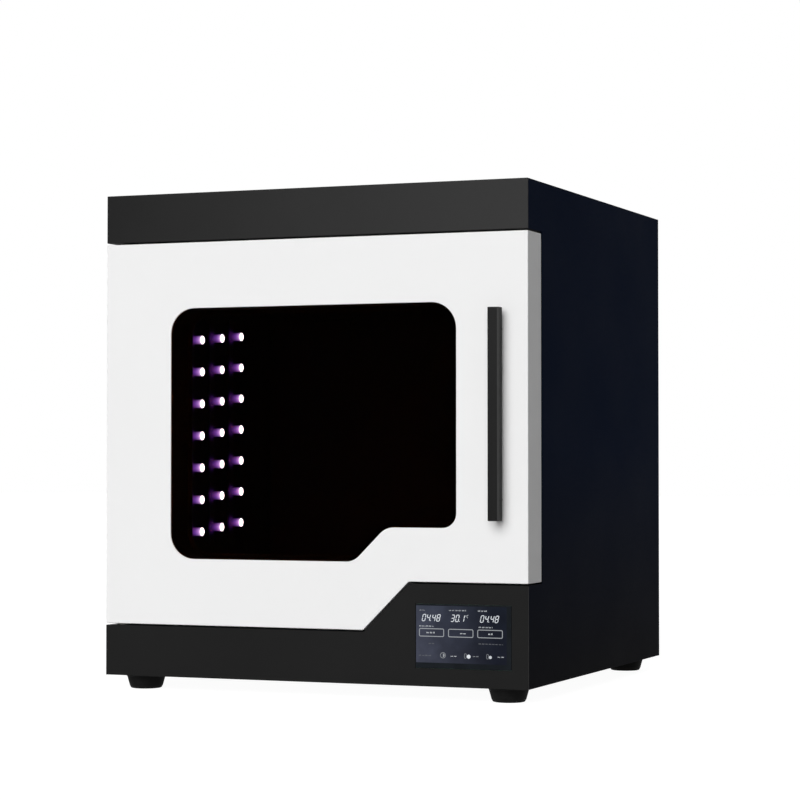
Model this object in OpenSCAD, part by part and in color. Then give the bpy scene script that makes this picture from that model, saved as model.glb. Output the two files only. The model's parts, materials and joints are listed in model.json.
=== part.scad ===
// Bench-top light curing cabinet for dental laboratory work.
// A white door with an amber window closes a black chamber that holds a turntable and
// two walls of violet lamps. A touch display sits in the raised corner of the base.
// Millimetres. X runs across the front, +Y from the door to the rear panel, +Z up.
// Most modules are written from the middle of the base pan's lower front edge, and placed()
// moves them so that the model stands on Z = 0 with its box centred on X and Y.

/* [Case] */
// Width of the case
case_w = 450; // [430:1:500]
// Depth of the case, from the door's face to the outside of the rear panel
case_d = 443; // [430:1:500]
// Height of the case above the underside of its base pan
case_h = 481.5; // [475:0.5:540]
// Thickness of the outer sheet metal
skin = 1.5; // [1.2:0.1:2]
// Depth of the outer sheets' skirt below the base pan
skirt_h = 1.6; // [1:0.1:2.4]
// Height of the black band above the door
band_h = 47.9; // [44:0.1:54]
// Height of the base's long upper edge above the underside of the base pan
base_h = 48.6; // [44:0.1:56]
// Height of the raised corner of the base that holds the display
panel_h = 96.2; // [92:0.1:102]
// Width of the flat top of that raised corner
panel_w = 120.7; // [114:0.1:130]

/* [Feet] */
// Height of a foot
foot_h = 16; // [12:0.5:22]
// Diameter of a foot where it meets the case
foot_top_d = 41; // [34:1:46]
// Diameter of a foot where it stands
foot_bottom_d = 32; // [26:1:34]
// Distance of the foot centres from the sides
foot_side = 30; // [26:1:40]
// Distance of the front foot centres from the front
foot_front = 30; // [26:1:40]
// Distance of the rear foot centres from the rear panel
foot_rear = 31; // [24:1:40]

/* [Door] */
// Thickness of the door
door_t = 40; // [36:1:44]
// Sheet thickness of the door
door_skin = 1.5; // [1.2:0.1:2]
// Gap between the door and the edges around it
door_gap = 1.8; // [0.8:0.1:2.2]
// Gap between the back of the door and the frame behind it
back_gap = 2; // [1.8:0.1:3]
// Rounding of the door's rear corner on the hinge side
hinge_corner_r = 6; // [5:0.5:8]
// Distance from the door's left side to the hinge axis
hinge_inset = 10; // [9:0.5:12]
// Diameter of the hinge pins
pin_d = 6; // [5:0.5:7]
// Height of the blocks in the door that hold the hinge pins
hinge_block_h = 16; // [12:1:24]

/* [Window] */
// Width of the window
win_w = 304.8; // [280:0.2:310]
// Height of the window
win_h = 249.8; // [235:0.2:260]
// Height of the window's lower edge above the underside of the base pan
win_z = 116.2; // [114:0.2:124]
// Height of the step at the window's lower right
win_step_h = 33.6; // [26:0.1:40]
// Width of that step along the window's lower edge
win_step_w = 106.2; // [96:0.2:116]
// Radius of the window's three large corners
win_r = 25.5; // [20:0.5:30]
// Radius of the corner beside the step
win_step_r = 14; // [12:0.5:18]
// Radius where the sloping edge begins and ends
win_bend_r = 20; // [14:1:24]
// Thickness of the window pane
pane_t = 4; // [3:0.5:5]

/* [Handle] */
// Length of the handle
handle_l = 201.6; // [180:0.2:220]
// Width of the handle
handle_w = 11.3; // [9:0.1:14]
// Depth of the handle bar
handle_t = 10; // [8:0.5:12]
// Space behind the handle bar
handle_gap = 8; // [6:0.5:14]
// Distance from the door's right side to the middle of the handle
handle_side = 28.6; // [24:0.2:34]
// Height of the handle's lower end above the underside of the base pan
handle_z = 157.3; // [145:0.1:175]
// Diameter of the handle's posts
post_d = 6; // [5:0.5:7]

/* [Display] */
// Width of the display glass
glass_w = 97; // [92:0.5:101]
// Height of the display glass
glass_h = 61; // [56:0.5:64]
// Distance from the case's right side to the glass
glass_side = 17; // [15:0.5:20]
// Height of the glass's lower edge above the underside of the base pan
glass_z = 16; // [14:0.5:17]
// Thickness of the display glass
glass_t = 2; // [1.5:0.1:3]

/* [Chamber] */
// Width of the frame at each side of the chamber's mouth
jamb_w = 49; // [47:0.5:56]
// Height of the mouth's lower edge above the top of the display corner
sill_h = 15.8; // [13.5:0.1:17]
// Distance from the mouth's upper edge to the underside of the band
lintel_h = 21.6; // [18:0.1:28]
// Distance from the outside of the case to the chamber wall
wall_gap = 31; // [27:0.5:34]
// Depth of the chamber
chamber_d = 280; // [265:1:295]
// Height of the chamber floor above the underside of the base pan
floor_z = 91; // [88:0.5:94]
// Distance from the top of the case to the chamber's ceiling
ceiling_gap = 60.5; // [56:0.5:62]
// Thickness of the chamber's sheet metal
liner_t = 1; // [0.8:0.1:1.5]

/* [Lamps] */
// Rows of lamps in a strip
lamp_rows = 7; // [3:1:7]
// Strips of lamps on a wall
lamp_strips = 3; // [1:1:4]
// Distance from one row to the next
lamp_pitch = 33.6; // [28:0.2:35]
// Distance from one strip to the next
strip_pitch = 47; // [40:0.5:52]
// Height that each strip sits above the one in front of it
strip_rise = 3.8; // [0:0.1:5]
// Depth of the first strip behind the door's face
strip_y = 126; // [120:0.5:132]
// Height of the lowest lamp of the first strip above the underside of the base pan
lamp_z = 139.2; // [132:0.2:146]
// Diameter of a lamp's lens
lamp_d = 8.8; // [6:0.2:10]
// Height of a lamp above its board
lamp_l = 13.6; // [8:0.2:14]
// Height of the lens's domed end
lens_dome_h = 2; // [1:0.2:3]

/* [Turntable] */
// Diameter of the turntable
table_d = 240; // [200:1:260]
// Thickness of the turntable
table_t = 4; // [3:0.5:5]
// Diameter of the turntable's shaft
shaft_d = 8; // [6:0.5:10]
// Diameter of the turntable motor
motor_d = 37; // [32:1:42]

/* [Rear] */
// Size of the fan's square frame
fan_w = 80; // [70:1:92]
// Thickness of the fan
fan_t = 25; // [20:1:32]
// Number of fan blades
fan_blades = 7; // [5:1:9]
// Distance that the fan guard stands out from the rear panel
guard_out = 4; // [4:0.5:8]
// Length of the fuse drawer
fuse_l = 20; // [16:1:24]

/* [Hidden] */

// Clearances
run_fit = 0.05;      // radial clearance of a running fit
slip_fit = 0.1;      // clearance round a screw or a fixed pin
seat_gap = 0.3;      // space between a moving piece and its seat
glass_fit = 0.3;     // space round a pane in its opening
sweep_fit = 0.4;     // least space round a piece that turns

// Colours
c_white = [0.93, 0.93, 0.93];
c_black = [0.16, 0.16, 0.16];
c_side = [0.07, 0.08, 0.10];
c_inside = [0.04, 0.04, 0.045];
c_rubber = [0.06, 0.06, 0.06];
c_steel = [0.72, 0.73, 0.75];
c_brass = [0.78, 0.62, 0.30];
c_amber = [0.85, 0.35, 0.05, 0.5];
c_glass = [0.18, 0.20, 0.26];
c_violet = [0.55, 0.25, 0.85];
c_board = [0.06, 0.28, 0.16];
c_nylon = [0.90, 0.89, 0.84];

// Planes of the case
hw = case_w / 2;
total_d = handle_gap + handle_t + case_d + guard_out;
front_y = handle_gap + handle_t - total_d / 2;
rear_y = case_d - skin;                  // inside of the rear panel
top_z = case_h - skin;                   // underside of the top cover
inner_x = hw - skin;                     // inside of the side panels
band_z = case_h - band_h;                // underside of the band
frame_y = door_t + back_gap;             // front of the frame behind the door
slope = tan(22.5);                       // inset of a corner of 135 degrees

// The base's upper edge, with its slope of 45 degrees up to the display corner
panel_x1 = hw - panel_w;
panel_x0 = panel_x1 - (panel_h - base_h);

// Chamber
mouth_w = case_w - 2 * jamb_w;
mouth_z0 = panel_h + sill_h;
mouth_z1 = band_z - lintel_h;
cav_x = hw - wall_gap;
cav_y0 = frame_y + skin;
cav_y1 = cav_y0 + chamber_d;
cav_z1 = case_h - ceiling_gap;
board_t = 1.6;
lamp_board_w = 12;
lamp_board_end = 18;                     // board beyond the first and last lamp

// Hinge
pivot_x = hinge_inset - hw;
pivot_y = door_t / 2;
bush_wall = 2;
bush_od = pin_d + 2 * bush_wall;
bush_l = 10;
bush_flange_w = 2;
bush_flange_d = bush_od + 2 * bush_flange_w;
pin_reach = 9;                           // pin inside the bush
door_z0 = base_h + door_gap;
door_z1 = band_z - door_gap;

// Catch, strike and switch share the strip beside the mouth
catch_w = 14;
catch_h = 38;
catch_d = 12;
catch_side = 20.25;                      // from the case's side to the middle of the catch
catch_x = hw - catch_side;
catch_z = (mouth_z0 + mouth_z1) / 2;
strike_t = 1;
strike_w = 14;
strike_h = 40;
reed_rise = 70;
reed_z = catch_z + reed_rise;
reed_w = 8;
reed_h = 22;
reed_d = 6;
magnet_d = 8;
magnet_t = 4;

// Door seal
seal_w = 8;
seal_side = 1.5;                         // from the mouth's edge to the seal
seal_t = back_gap - 0.5;

// Window layers, from the front
pane_in = 0.2;                           // pane behind the door's face
pane_flange = 6;                         // flange of the pane behind the door's skin
pane_y1 = pane_t + seat_gap;               // back of the pane's flange
gasket_t = 2;
surround_t = 3;
surround_y0 = pane_y1 + gasket_t;
panel_lip = 4.5;                         // rear panel's edge inside the window's outline

// Handle
handle_x = hw - handle_side;
post_inset = 20;
handle_screw_d = 3;

// Turntable
table_y = cav_y0 + chamber_d / 2;
floor_bush_wall = 3;
floor_bush_flange_w = 4;
floor_bush_flange_t = 1.5;
floor_bush_l = 7;
hub_d = 40;
hub_z = floor_z + floor_bush_flange_t + seat_gap;
hub_t = 3.5;
table_z = hub_z + hub_t;
bracket_drop = 12;
bracket_z = floor_z - liner_t - bracket_drop;
bracket_t = 2;
boss_h = 4;
motor_l = 52;
shaft_in_motor = 10;

// Rear panel fittings
fan_side = 115;                          // from the case's side to the fan's axis
fan_x = fan_side - hw;
fan_drop = 106.1;                        // from the band's underside to the fan's axis
fan_z = band_z - fan_drop;
fan_rim = 2.5;
fan_bore = fan_w - 2 * fan_rim;
fan_hole_inset = 4.25;
fan_hole_pitch = fan_w - 2 * fan_hole_inset;
fan_hub_d = 32;
fan_cup_t = 6;
fan_spindle_d = 5;
fan_spindle_l = fan_t - 8;
inlet_side = 75;                         // from the case's side to the middle of the inlet
inlet_x = hw - inlet_side;
inlet_z = 48;
inlet_w = 30;
inlet_h = 40;
inlet_l = 34;
inlet_flange_w = 48;
inlet_flange_t = 2.5;
switch_pitch = 58;
switch_x = inlet_x - switch_pitch;
rocker_r = 9;
rocker_w = 14;
rocker_tilt = 9;
rocker_pivot_y = case_d - 0.5;
screw_d = 3;
screw_head_d = 5.6;
screw_head_t = 1.8;

// Board, supply and driver on the base pan
standoff_h = 7;
standoff_d = 6;
board_w = 120;
board_d = 80;
rail_w = 16;
rail_side = 4;                           // from the chamber wall to the rail's web
rail_x = cav_x - rail_side - rail_w;     // inner edge of the rails
bay_gap = 9;                             // from a rail to the board beside it
board_x = bay_gap - rail_x;
board_y = 80;
supply_w = 98;
supply_d = 160;
supply_h = 38;
supply_gap = 6;
supply_x = rail_x - supply_gap - supply_w;
supply_y = 120;
driver_w = 100;
driver_d = 50;
driver_h = 30;
driver_x = board_x;
driver_y = 255;

// Moves a piece from the case's own origin to where the model stands.
module placed() {
    translate([0, front_y, foot_h]) children();
}

// A box between two opposite corners.
module block(a, b) {
    translate(a) cube(b - a);
}

// Extrudes a drawing of X and Z from y0 to y1.
module along_y(y0, y1) {
    translate([0, y1, 0]) rotate([90, 0, 0]) linear_extrude(y1 - y0) children();
}

// A round bar along Y, through (x, z).
module rod_y(x, z, y0, y1, d) {
    translate([x, y1, z]) rotate([90, 0, 0]) cylinder(d = d, h = y1 - y0, $fn = 48);
}

// Unit vector from p to q.
function unit(p, q) = (q - p) / norm(q - p);

// An angle brought between -180 and 180 degrees.
function wrapped(a) = a > 180 ? a - 360 : a < -180 ? a + 360 : a;

// The points of an arc of radius r that rounds the corner v between p and q.
function corner_arc(p, v, q, r, steps) =
    let (
        a = unit(v, p),
        b = unit(v, q),
        half = acos(a * b) / 2,
        c = v + (a + b) / norm(a + b) * r / sin(half),
        s = v + a * r / tan(half) - c,
        e = v + b * r / tan(half) - c,
        a0 = atan2(s[1], s[0]),
        turn = wrapped(atan2(e[1], e[0]) - a0)
    )
    [for (i = [0:steps]) c + r * [cos(a0 + turn * i / steps), sin(a0 + turn * i / steps)]];

// An outline with each corner rounded by its own radius.
function rounded(pts, radii, steps = 8) =
    let (n = len(pts))
    [for (i = [0:n - 1]) each corner_arc(pts[(i + n - 1) % n], pts[i], pts[(i + 1) % n],
                                         radii[i], steps)];

// The window's outline, inset by e.
function window_points(e) =
    let (
        x0 = -win_w / 2,
        x1 = win_w / 2,
        z1 = win_z + win_step_h,
        bx = x1 - win_step_w,
        cx = bx + win_step_h
    )
    [[x0 + e, win_z + e], [bx - slope * e, win_z + e], [cx - slope * e, z1 + e],
     [x1 - e, z1 + e], [x1 - e, win_z + win_h - e], [x0 + e, win_z + win_h - e]];

function window_radii(e) =
    [win_r - e, win_bend_r - e, win_bend_r + e, win_step_r - e, win_r - e, win_r - e];

module window_outline(e) {
    polygon(rounded(window_points(e), window_radii(e)));
}

// A frame between two insets of the window's outline.
module window_ring(outer, inner, y0, y1) {
    along_y(y0, y1) difference() {
        window_outline(outer);
        window_outline(inner);
    }
}

// The door's outline: e from the base and the band, s from the sides.
function door_points(e, s) =
    [[s - hw, base_h + e], [panel_x0 - slope * e, base_h + e], [panel_x1 - slope * e, panel_h + e],
     [hw - s, panel_h + e], [hw - s, band_z - e], [s - hw, band_z - e]];

// The door seen from above, inset by s on the sides, with its rounded rear corner.
module door_plan(s) {
    translate([hinge_corner_r - hw, -1]) square([case_w - hinge_corner_r - s, door_t + 1]);
    translate([s - hw, -1]) square([hinge_corner_r, door_t - hinge_corner_r + 1]);
    translate([hinge_corner_r - hw, door_t - hinge_corner_r]) circle(hinge_corner_r - s, $fn = 48);
}

// A slab of the door from y0 to y1.
module door_block(e, s, y0, y1) {
    intersection() {
        along_y(y0, y1) polygon(door_points(e, s));
        linear_extrude(case_h) door_plan(s);
    }
}

// The base's front, lowered by e and inset by s on the sides.
function base_points(e, s) =
    [[s - hw, -skirt_h], [hw - s, -skirt_h], [hw - s, panel_h - e], [panel_x1 + slope * e, panel_h - e],
     [panel_x0 + slope * e, base_h - e], [s - hw, base_h - e]];

// Case

rear_flange_w = 14;

// A side sheet with the notch for the door, from the height of the base to the band,
// and the flange that takes the rear panel's screws.
module side_panel(side, shoulder_h) {
    x_out = side * hw;
    x_in = side * inner_x;
    x_flange = side * (hw - rear_flange_w);
    difference() {
        union() {
            difference() {
                block([min(x_out, x_in), skin, -skirt_h], [max(x_out, x_in), rear_y, top_z]);
                block([-hw - 1, 0, shoulder_h], [hw + 1, door_t + door_gap, band_z]);
            }
            block([min(x_in, x_flange), rear_y - skin, skin], [max(x_in, x_flange), rear_y, top_z]);
        }
        rear_screw_holes();
    }
}

module side_panel_left() {
    color(c_side) placed() side_panel(-1, base_h);
}

module side_panel_right() {
    color(c_side) placed() side_panel(1, panel_h);
}

// The top sheet, with a lip inside each side panel.
module top_cover() {
    lip = 10;
    color(c_side) placed() {
        block([-hw, skin, top_z], [hw, rear_y, case_h]);
        for (s = [-1, 1]) {
            x0 = s * inner_x;
            x1 = s * (inner_x - skin);
            block([min(x0, x1), cav_y0 + 2, top_z - lip], [max(x0, x1), rear_y - 2 * skin, top_z]);
        }
    }
}

// The band over the door: its face and the shelf that holds the upper hinge bush.
module top_fascia() {
    color(c_black) placed() difference() {
        union() {
            block([-hw, 0, band_z], [hw, skin, case_h]);
            block([-inner_x, skin, band_z], [inner_x, frame_y, band_z + skin]);
        }
        hinge_hole(bush_od + 2 * slip_fit, band_z - 1, band_z + skin + 1);
    }
}

// The base's face with its display opening, and the folded shelf under the door.
module base_fascia() {
    color(c_black) placed() difference() {
        union() {
            along_y(0, skin) polygon(base_points(0, 0));
            along_y(skin, frame_y) difference() {
                polygon(base_points(0, skin));
                polygon(base_points(skin, 0));
            }
        }
        block([glass_x0() - glass_fit, -1, glass_z - glass_fit],
              [glass_x0() + glass_w + glass_fit, skin + 1, glass_z + glass_h + glass_fit]);
        hinge_hole(bush_od + 2 * slip_fit, base_h - skin - 1, base_h + 1);
    }
}

module base_pan() {
    slot_l = 50;
    slot_w = 4;
    slot_pitch = 12;
    slot_n = 8;
    slot_y = 260;
    rim_h = 14;
    color(c_side) placed() difference() {
        union() {
            block([-inner_x, skin, 0], [inner_x, rear_y, skin]);
            for (s = [-1, 1]) {
                x0 = s * inner_x;
                x1 = s * (inner_x - skin);
                block([min(x0, x1), cav_y0 + 2, skin], [max(x0, x1), rear_y - 2 * skin, rim_h]);
            }
        }
        for (i = [0:slot_n - 1]) {
            translate([-slot_l / 2, slot_y + i * slot_pitch, -1]) cube([slot_l, slot_w, skin + 2]);
        }
        for (p = foot_places()) {
            translate([p[0], p[1], -1]) cylinder(d = foot_screw_d + 2 * slip_fit, h = skin + 2, $fn = 32);
        }
    }
}

module rear_panel() {
    vent_side = 130;                     // from the fan's axis to the first column of slots
    vent_x0 = fan_x + vent_side;
    vent_step = 70;
    vent_drop = 50;
    vent_z = fan_z - vent_drop;
    vent_w = 44;
    vent_h = 3;
    vent_pitch = 9;
    vent_n = 12;
    color(c_side) placed() difference() {
        block([-hw, rear_y, -skirt_h], [hw, case_d, case_h]);
        rod_y(fan_x, fan_z, rear_y - 1, case_d + 1, fan_bore);
        fan_screw_holes(screw_d + 2 * slip_fit, rear_y - 1, case_d + 1);
        for (x = [vent_x0, vent_x0 + vent_step], i = [0:vent_n - 1]) {
            block([x, rear_y - 1, vent_z + i * vent_pitch],
                  [x + vent_w, case_d + 1, vent_z + i * vent_pitch + vent_h]);
        }
        block([inlet_x - inlet_w / 2 - slip_fit, rear_y - 1, inlet_z - inlet_h / 2 - slip_fit],
              [inlet_x + inlet_w / 2 + slip_fit, case_d + 1, inlet_z + inlet_h / 2 + slip_fit]);
        block([switch_x - switch_w / 2 - slip_fit, rear_y - 1, inlet_z - switch_h / 2 - slip_fit],
              [switch_x + switch_w / 2 + slip_fit, case_d + 1, inlet_z + switch_h / 2 + slip_fit]);
        rear_screw_holes();
    }
}

// The bulkhead behind the door, with the chamber's mouth and the catch's opening.
module front_frame() {
    color(c_inside) placed() difference() {
        block([-inner_x, frame_y, skin], [inner_x, cav_y0, top_z]);
        block([-mouth_w / 2, frame_y - 1, mouth_z0], [mouth_w / 2, cav_y0 + 1, mouth_z1]);
        block([catch_x - catch_nose_w / 2 - slip_fit, frame_y - 1, catch_z - catch_nose_h / 2 - slip_fit],
              [catch_x + catch_nose_w / 2 + slip_fit, cav_y0 + 1, catch_z + catch_nose_h / 2 + slip_fit]);
    }
}

// Feet

foot_screw_d = 5;
foot_head_d = 9;
foot_head_t = 3;
foot_bore_d = 11;

function foot_places() =
    [for (s = [-1, 1], y = [foot_front, case_d - foot_rear]) [s * (hw - foot_side), y]];

// Four rubber feet, each a blunt cone with a counterbore for its screw.
module feet() {
    edge = 2;
    bore_z = foot_h - foot_seat();
    color(c_rubber) placed() for (p = foot_places()) {
        translate([p[0], p[1], -foot_h]) difference() {
            rotate_extrude($fn = 64) polygon([[0, 0], [foot_bottom_d / 2 - edge, 0],
                [foot_bottom_d / 2 - edge * 0.3, edge * 0.3], [foot_bottom_d / 2, edge],
                [foot_top_d / 2, foot_h], [0, foot_h]]);
            translate([0, 0, -1]) cylinder(d = foot_bore_d, h = bore_z + 1, $fn = 32);
            cylinder(d = foot_screw_d + 2 * slip_fit, h = foot_h + 1, $fn = 32);
        }
    }
}

// Rubber left between a foot screw's head and the case.
function foot_seat() = foot_h * 0.4;

// Four screws up through the feet, each with its nut inside the base pan.
module foot_screws() {
    nut_t = 4;
    nut_d = 9;
    color(c_steel) placed() for (p = foot_places()) {
        translate([p[0], p[1], 0]) {
            translate([0, 0, -foot_seat() - foot_head_t])
                cylinder(d = foot_head_d, h = foot_head_t, $fn = 32);
            translate([0, 0, -foot_seat()])
                cylinder(d = foot_screw_d, h = foot_seat() + skin + nut_t + 1, $fn = 32);
            translate([0, 0, skin]) cylinder(d = nut_d, h = nut_t, $fn = 6);
        }
    }
}

// Chamber

// The sheet at one side of the chamber.
module chamber_wall(side) {
    x0 = side * cav_x;
    x1 = side * (cav_x + liner_t);
    block([min(x0, x1), cav_y0, floor_z], [max(x0, x1), cav_y1, cav_z1]);
}

module chamber_wall_left() {
    color(c_inside) placed() chamber_wall(-1);
}

module chamber_wall_right() {
    color(c_inside) placed() chamber_wall(1);
}

probe_x = 60;
probe_z = cav_z1 - 13;
probe_d = 5;

// The rear sheet of the chamber, with air slots and the probe's hole.
module chamber_back() {
    slot_w = 60;
    slot_h = 4;
    slot_pitch = 12;
    slot_n = 4;
    slot_lift = 3;                       // the slots are above the fan's bore and leak no light
    slot_z = fan_z + fan_bore / 2 + slot_lift;
    color(c_inside) placed() difference() {
        block([-cav_x - liner_t, cav_y1, floor_z], [cav_x + liner_t, cav_y1 + liner_t, cav_z1]);
        for (i = [0:slot_n - 1]) {
            block([fan_x - slot_w / 2, cav_y1 - 1, slot_z + i * slot_pitch],
                  [fan_x + slot_w / 2, cav_y1 + liner_t + 1, slot_z + i * slot_pitch + slot_h]);
        }
        rod_y(probe_x, probe_z, cav_y1 - 1, cav_y1 + liner_t + 1, probe_d + 2 * slip_fit);
    }
}

module chamber_ceiling() {
    color(c_inside) placed()
        block([-cav_x - liner_t, cav_y0, cav_z1], [cav_x + liner_t, cav_y1 + liner_t, cav_z1 + liner_t]);
}

module chamber_floor() {
    color(c_inside) placed() difference() {
        block([-cav_x - liner_t, cav_y0, floor_z - liner_t], [cav_x + liner_t, cav_y1 + liner_t, floor_z]);
        translate([0, table_y, floor_z - liner_t - 1])
            cylinder(d = floor_bush_d() + 2 * slip_fit, h = liner_t + 2, $fn = 48);
    }
}

// Two folded rails that carry the chamber floor on the base pan.
module floor_rails() {
    rail_inset = 20;
    rail_y0 = cav_y0 + rail_inset;
    rail_y1 = cav_y1 - rail_inset;
    rail_z1 = floor_z - liner_t;
    color(c_steel) placed() for (s = [-1, 1]) {
        x0 = s * (cav_x - rail_side);
        x1 = x0 + s * skin;
        x2 = s * rail_x;
        block([min(x0, x1), rail_y0, skin], [max(x0, x1), rail_y1, rail_z1]);
        block([min(x0, x2), rail_y0, skin], [max(x0, x2), rail_y1, 2 * skin]);
        block([min(x0, x2), rail_y0, rail_z1 - skin], [max(x0, x2), rail_y1, rail_z1]);
    }
}

// Lamps

// Where lamp i of strip k stands: its depth and its height.
function lamp_place(k, i) = [strip_y + k * strip_pitch, lamp_z + i * lamp_pitch + k * strip_rise];

// The boards of one wall, drawn at the left and mirrored for the right.
module lamp_boards() {
    for (k = [0:lamp_strips - 1]) {
        low = lamp_place(k, 0);
        high = lamp_place(k, lamp_rows - 1);
        block([-cav_x, low[0] - lamp_board_w / 2, low[1] - lamp_board_end],
              [board_t - cav_x, low[0] + lamp_board_w / 2, high[1] + lamp_board_end]);
    }
}

// One lamp: a flange, a round body and a shallow domed end, along +X.
module lamp() {
    r = lamp_d / 2;
    rim = 0.8;
    rim_t = 1;
    dome = [for (i = [0:6]) [r * cos(i * 15), lamp_l + lens_dome_h * (sin(i * 15) - 1)]];
    rotate([0, 90, 0]) rotate_extrude($fn = 24)
        polygon(concat([[0, 0], [r + rim, 0], [r + rim, rim_t], [r, rim_t]], dome));
}

module lamps() {
    for (k = [0:lamp_strips - 1], i = [0:lamp_rows - 1]) {
        p = lamp_place(k, i);
        translate([board_t - cav_x, p[0], p[1]]) lamp();
    }
}

module lamp_boards_left() {
    color(c_nylon) placed() lamp_boards();
}

module lamp_boards_right() {
    color(c_nylon) placed() mirror([1, 0, 0]) lamp_boards();
}

module lamps_left() {
    color(c_violet) placed() lamps();
}

module lamps_right() {
    color(c_violet) placed() mirror([1, 0, 0]) lamps();
}

// Display

function glass_x0() = hw - glass_side - glass_w;

module_t = 7;
module_rim = 3;
bracket_rim = 4;

module display_glass() {
    color(c_glass) placed()
        block([glass_x0(), 0, glass_z], [glass_x0() + glass_w, glass_t, glass_z + glass_h]);
}

// The display's frame and circuit, behind the glass.
module display_module() {
    y0 = max(glass_t, skin);
    plug = [26, 6, 12];
    plug_place = [glass_x0() + 8, y0 + module_t, glass_z + 10];
    color(c_board) placed() {
        block([glass_x0() - module_rim, y0, glass_z - module_rim],
              [glass_x0() + glass_w + module_rim, y0 + module_t, glass_z + glass_h + module_rim]);
        translate(plug_place) cube(plug);
    }
}

// The frame that holds the display against the back of the base's face.
module display_bracket() {
    y1 = max(glass_t, skin) + module_t;
    a = module_rim + glass_fit;
    b = module_rim + bracket_rim;
    color(c_steel) placed() difference() {
        block([glass_x0() - b, skin, glass_z - b],
              [glass_x0() + glass_w + b, y1 + skin, glass_z + glass_h + b]);
        block([glass_x0() - a, skin - 1, glass_z - a],
              [glass_x0() + glass_w + a, y1, glass_z + glass_h + a]);
        block([glass_x0(), skin, glass_z],
              [glass_x0() + glass_w, y1 + skin + 1, glass_z + glass_h]);
    }
}

// Electronics on the base pan

function standoff_places() =
    [for (x = [board_x + 6, board_x + board_w - 6], y = [board_y + 6, board_y + board_d - 6]) [x, y]];

module board_standoffs() {
    color(c_brass) placed() for (p = standoff_places()) {
        translate([p[0], p[1], skin]) cylinder(d = standoff_d, h = standoff_h, $fn = 6);
    }
}

// The controller: its board with a processor, relays, capacitors and a row of terminals.
module control_board() {
    z0 = skin + standoff_h;
    z1 = z0 + board_t;
    chip = [14, 14, 1.6];
    relay = [16, 20, 15];
    relay_pitch = 22;
    terminal = [12, 9, 10];
    terminal_pitch = 15;
    cap_d = 8;
    cap_h = 12;
    cap_pitch = 14;
    relay_x = board_x + 50;
    terminal_edge = 4;
    color(c_board) placed() {
        block([board_x, board_y, z0], [board_x + board_w, board_y + board_d, z1]);
        translate([board_x + chip[0], board_y + 2 * chip[1], z1]) cube(chip);
        for (i = [0:2]) {
            translate([relay_x + i * relay_pitch, board_y + board_d / 2, z1]) cube(relay);
        }
        for (i = [0:5]) {
            translate([board_x + relay[0] + i * terminal_pitch, board_y + terminal_edge, z1]) cube(terminal);
        }
        for (i = [0:3]) {
            translate([board_x + 2 * cap_h + i * cap_pitch, board_y + board_d - cap_h, z1])
                cylinder(d = cap_d, h = cap_h, $fn = 32);
        }
    }
}

// The mains supply in its perforated case, with its row of terminals.
module power_supply() {
    wall = 1.2;
    color(c_steel) placed() difference() {
        block([supply_x, supply_y, skin], [supply_x + supply_w, supply_y + supply_d, skin + supply_h]);
        block([supply_x + wall, supply_y + supply_d - 16, skin + 14],
              [supply_x + supply_w - wall, supply_y + supply_d + 1, skin + supply_h + 1]);
        for (i = [0:9]) {
            block([supply_x + 16, supply_y + 14 + i * 12, skin + supply_h - 2],
                  [supply_x + supply_w - 16, supply_y + 18 + i * 12, skin + supply_h + 1]);
        }
    }
}

// The constant current driver of the lamps, a finned block.
module lamp_driver() {
    fins = 9;
    fin_pitch = driver_w / fins;
    color(c_steel) placed() difference() {
        block([driver_x, driver_y, skin], [driver_x + driver_w, driver_y + driver_d, skin + driver_h]);
        for (i = [0:fins - 1]) {
            block([driver_x + (i + 0.35) * fin_pitch, driver_y - 1, skin + driver_h - 12],
                  [driver_x + (i + 0.65) * fin_pitch, driver_y + driver_d + 1, skin + driver_h + 1]);
        }
    }
}

// Turntable drive

function floor_bush_d() = shaft_d + 2 * floor_bush_wall;

// The flanged bush in the chamber floor that the turntable's shaft turns in.
module turntable_bush() {
    color(c_nylon) placed() translate([0, table_y, 0]) difference() {
        union() {
            translate([0, 0, floor_z - floor_bush_l])
                cylinder(d = floor_bush_d(), h = floor_bush_l, $fn = 48);
            translate([0, 0, floor_z])
                cylinder(d = floor_bush_d() + 2 * floor_bush_flange_w, h = floor_bush_flange_t, $fn = 48);
        }
        translate([0, 0, floor_z - floor_bush_l - 1])
            cylinder(d = shaft_d + 2 * run_fit, h = floor_bush_l + floor_bush_flange_t + 2, $fn = 48);
    }
}

// The plate that hangs under the chamber floor and carries the motor.
module motor_bracket() {
    leg_x = motor_d / 2 + 20;
    flange = 12;
    half_d = motor_d / 2 + 6;
    hang_z = floor_z - liner_t;
    color(c_steel) placed() translate([0, table_y, 0]) difference() {
        union() {
            block([-leg_x, -half_d, bracket_z - bracket_t], [leg_x, half_d, bracket_z]);
            for (s = [-1, 1]) {
                block([min(s * leg_x, s * (leg_x - bracket_t)), -half_d, bracket_z],
                      [max(s * leg_x, s * (leg_x - bracket_t)), half_d, hang_z]);
                block([min(s * leg_x, s * (leg_x + flange)), -half_d, hang_z - bracket_t],
                      [max(s * leg_x, s * (leg_x + flange)), half_d, hang_z]);
            }
        }
        translate([0, 0, bracket_z - bracket_t - 1])
            cylinder(d = motor_boss_d() + 2 * slip_fit, h = bracket_t + 2, $fn = 48);
    }
}

function motor_boss_d() = shaft_d + 4;

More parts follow.
